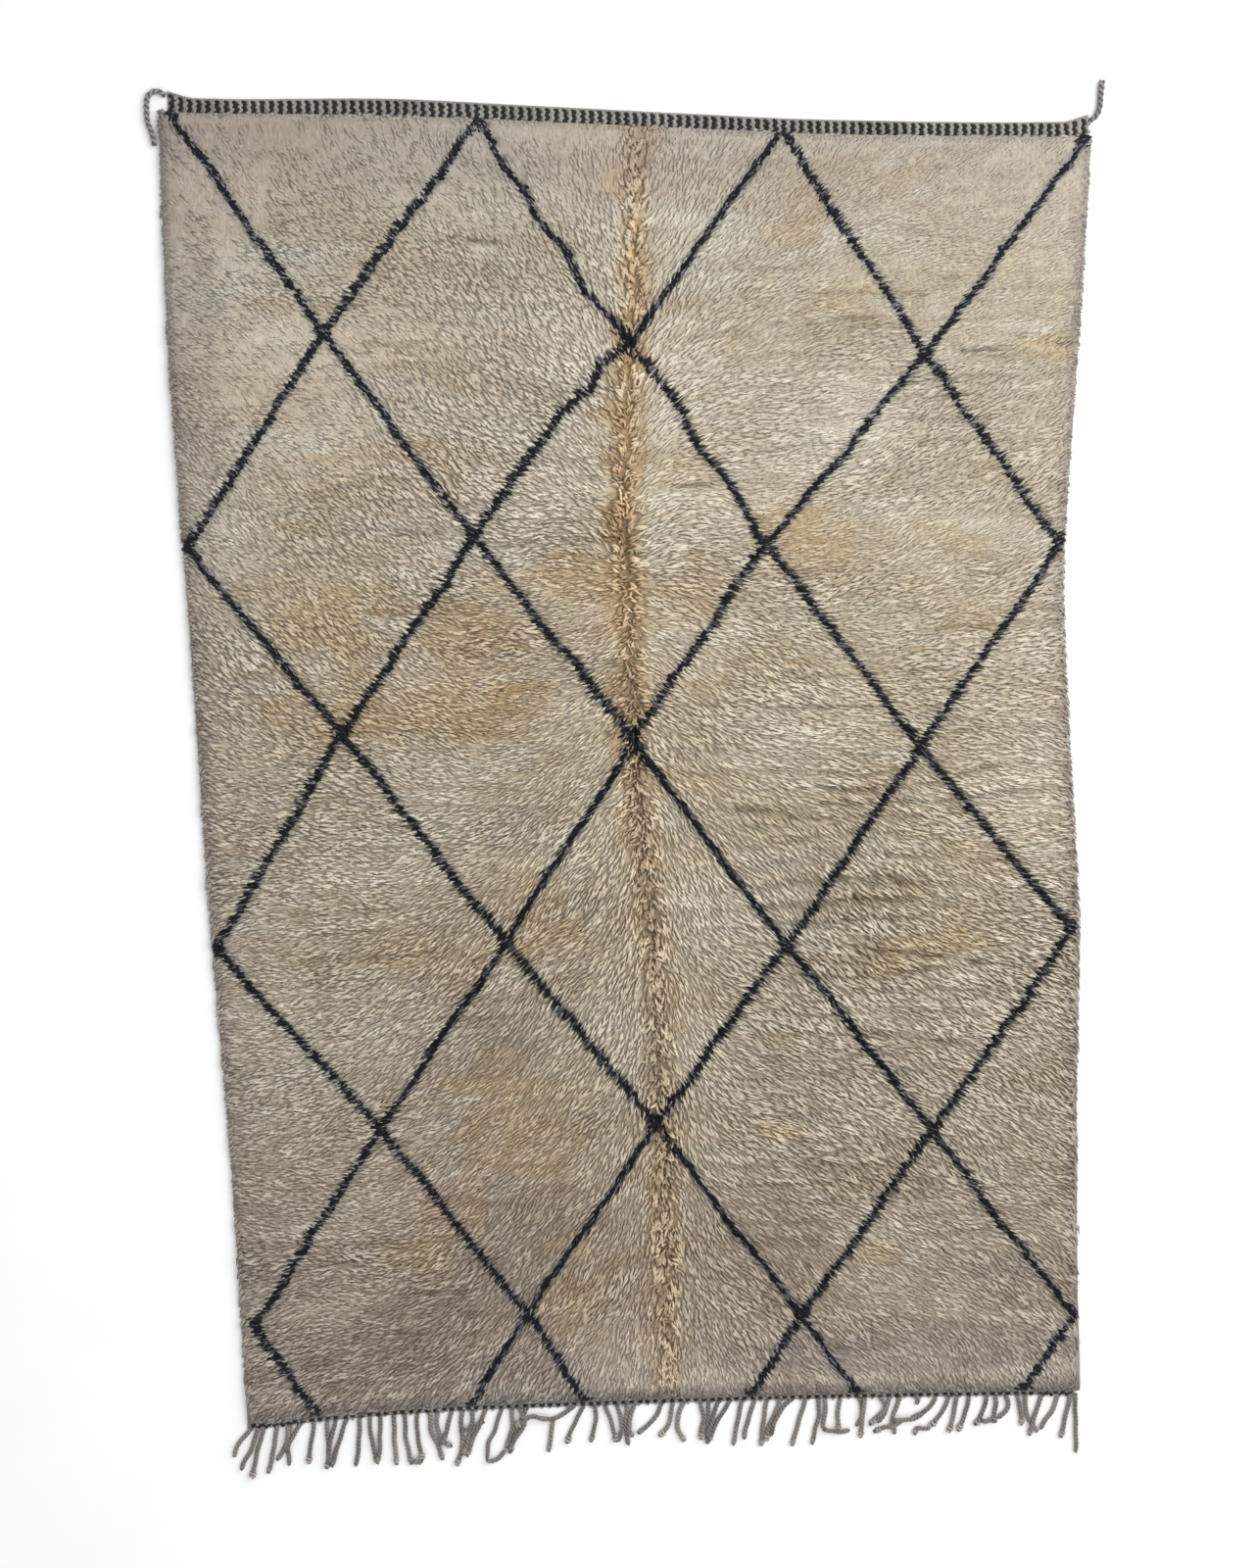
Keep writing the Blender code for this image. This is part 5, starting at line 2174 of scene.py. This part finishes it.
@dataclass(frozen=True)
class FootStitches:
    """The strip at the foot of the pile, with its row of black stitches."""

    pitch: float = 0.0195
    run: Pair = (-0.955, 1.02)  # where the stitches begin and end
    rows: int = 2
    row_inset: float = 0.0056  # distance of the first row from the pile, and between the rows
    strip: float = 0.012
    top: float = 0.0040
    black: Stitch = Stitch((0.0060, 0.0062, 0.0034))
    pale: Stitch = Stitch((0.0040, 0.0050, 0.0018))

    def _cloth(self) -> Form:
        """Models the cloth of the strip.

        Returns:
            The cloth.
        """
        cloth, u, v = add_grid("foot_cloth", 200, 1)
        x = -0.970 + 1.995 * u
        move_points(cloth, x, read_table(FOOT_LINE, x) - GAP - self.strip * (1 - v), self.top)
        thicken(cloth, self.top - GAP)
        return Form.of(cloth)

    def _row(self, stitch: Stitch, row: int, lead: float, dice: Dice) -> Form:
        """Lays one row of stitches of one colour.

        Args:
            stitch: The stitch.
            row: Number of the row, from the pile.
            lead: How far the row is shifted, as a share of the pitch.
            dice: Random numbers.

        Returns:
            The stitches of the row.
        """
        places = np.arange(*self.run, self.pitch)
        x = places + lead * self.pitch + dice.normal(0, 0.0009, len(places))
        chosen = x < self.run[1]
        if row and stitch is self.black:
            chosen &= (x < -0.84) | (x > 0.93)
        x = x[chosen]
        y = read_table(FOOT_LINE, x) - self.row_inset * (1 + row) + dice.normal(0, 0.0007, len(x))
        angles = dice.normal(0, 0.25, len(x))
        return stitch.lay(np.stack([x, y], axis=1), self.top + 0.0012, angles, dice)

    def build(self, pale: Material, black: Material) -> list[Piece]:
        """Builds the strip with its stitches.

        Args:
            pale: Finish of the strip and the pale stitches.
            black: Finish of the black stitches.

        Returns:
            The strip with its pale stitches, and the black stitches.
        """
        dice = np.random.default_rng(9)
        cloth = self._cloth()
        dark, light = [], []
        for row in range(self.rows):
            dark.append(self._row(self.black, row, row / 2, dice))
            light.append(self._row(self.pale, row, row / 2 + 0.5, dice))
        strip = make_piece("foot_strip", join([cloth, *light]))
        dress(strip, pale, "warp_fringe")
        stitches = make_piece("foot_black_stitches", join(dark))
        dress(stitches, black, "warp_fringe")
        return [strip, stitches]


# ---------------------------------------------------------------------------------------------
# The studio.


@dataclass(frozen=True)
class Lamp:
    """One soft square lamp."""

    name: str
    place: Triple
    aim: Triple
    size: float
    watts: float
    tint: Triple

    def hang(self) -> None:
        """Hangs the lamp."""
        data = bpy.data.lights.new(self.name, "AREA")
        data.size, data.energy, data.color = self.size, self.watts, self.tint
        lamp = bpy.data.objects.new(self.name, data)
        lamp.location = self.place
        lamp.rotation_euler = (Vector(self.aim) - Vector(self.place)).to_track_quat("-Z", "Y").to_euler()
        bpy.context.scene.collection.objects.link(lamp)


@dataclass(frozen=True)
class Studio:
    """Plain pale floor, soft light and the camera."""

    place: Triple = (-0.355, 0.695, 4.52)
    turn: Triple = (-8.0, -4.1, -1.0)  # its turn about x, y and z, in degrees
    lens: float = 45.8  # focal length in millimetres on a 36 mm wide frame
    floor_size: float = 26.0
    room_light: float = 0.60  # strength of the white light from all around
    lamps: tuple[Lamp, ...] = (
        Lamp("window", (2.6, 1.7, 3.6), (0.3, 0.0, 0.0), 4.6, 226.0, (1.0, 0.995, 0.98)),
        Lamp("fill", (-2.0, -3.0, 4.5), (0.0, 0.0, 0.0), 4.0, 70.0, (0.93, 0.96, 1.0)),
    )

    def camera(self) -> None:
        """Sets up the camera."""
        data = bpy.data.cameras.new("camera")
        data.lens = self.lens
        camera = bpy.data.objects.new("camera", data)
        camera.location = self.place
        camera.rotation_euler = [math.radians(a) for a in self.turn]
        bpy.context.scene.collection.objects.link(camera)
        bpy.context.scene.camera = camera

    def light(self) -> None:
        """Hangs the lamps and lights the room."""
        for lamp in self.lamps:
            lamp.hang()
        world = bpy.data.worlds.new("room")
        bpy.context.scene.world = world
        world.use_nodes = True
        sky = world.node_tree.nodes["Background"]
        sky.inputs["Color"].default_value = colour((1.0, 1.0, 1.0))
        sky.inputs["Strength"].default_value = self.room_light
        bpy.context.scene.view_settings.view_transform = "Standard"

    def floor(self) -> None:
        """Lays the floor."""
        bpy.ops.object.select_all(action="DESELECT")
        bpy.ops.mesh.primitive_plane_add(size=self.floor_size)
        floor = bpy.context.object
        floor.name = "floor"
        floor.data.materials.append(StudioFloor().make())


def main() -> None:
    """Builds the rug piece by piece, and the studio around it."""
    logging.basicConfig(level=logging.INFO, format="%(name)s: %(message)s")
    studio = Studio()
    studio.camera()
    studio.light()
    studio.floor()
    cord_yarn = Yarn("cord_yarn", (0.29, 0.275, 0.262), (0.062, 0.056, 0.054), shaded_grooves=True).make()
    CornerCord(
        "corner_cord_left",
        (
            (-1.0125, 1.5760), (-1.0300, 1.5850), (-1.0490, 1.5740), (-1.0530, 1.5500),
            (-1.0520, 1.5200), (-1.0440, 1.4960), (-1.0400, 1.4720),
        ),
        FarEnd.BARE,
    ).build(cord_yarn)
    CornerCord(
        "corner_cord_right",
        ((1.0160, 1.5140), (1.0300, 1.5260), (1.0370, 1.5450), (1.0385, 1.5700), (1.0410, 1.6000)),
        FarEnd.KNOT,
        end_swell=1.25,
    ).build(cord_yarn)
    pile = Pile().build()
    GroundCloth().build(pile)
    pale = Yarn("grey_cream_yarn", (0.35, 0.33, 0.295), (0.17, 0.16, 0.145)).make()
    black = Yarn("black_yarn", (0.024, 0.023, 0.023), (0.006, 0.006, 0.007)).make()
    HeadBand().build(pale, black)
    FootStitches().build(pale, black)
    fringe_yarn = Yarn("fringe_yarn", (0.435, 0.395, 0.355), (0.062, 0.052, 0.049), shaded_grooves=True).make()
    Fringe().build(fringe_yarn)


if __name__ == "__main__":
    main()
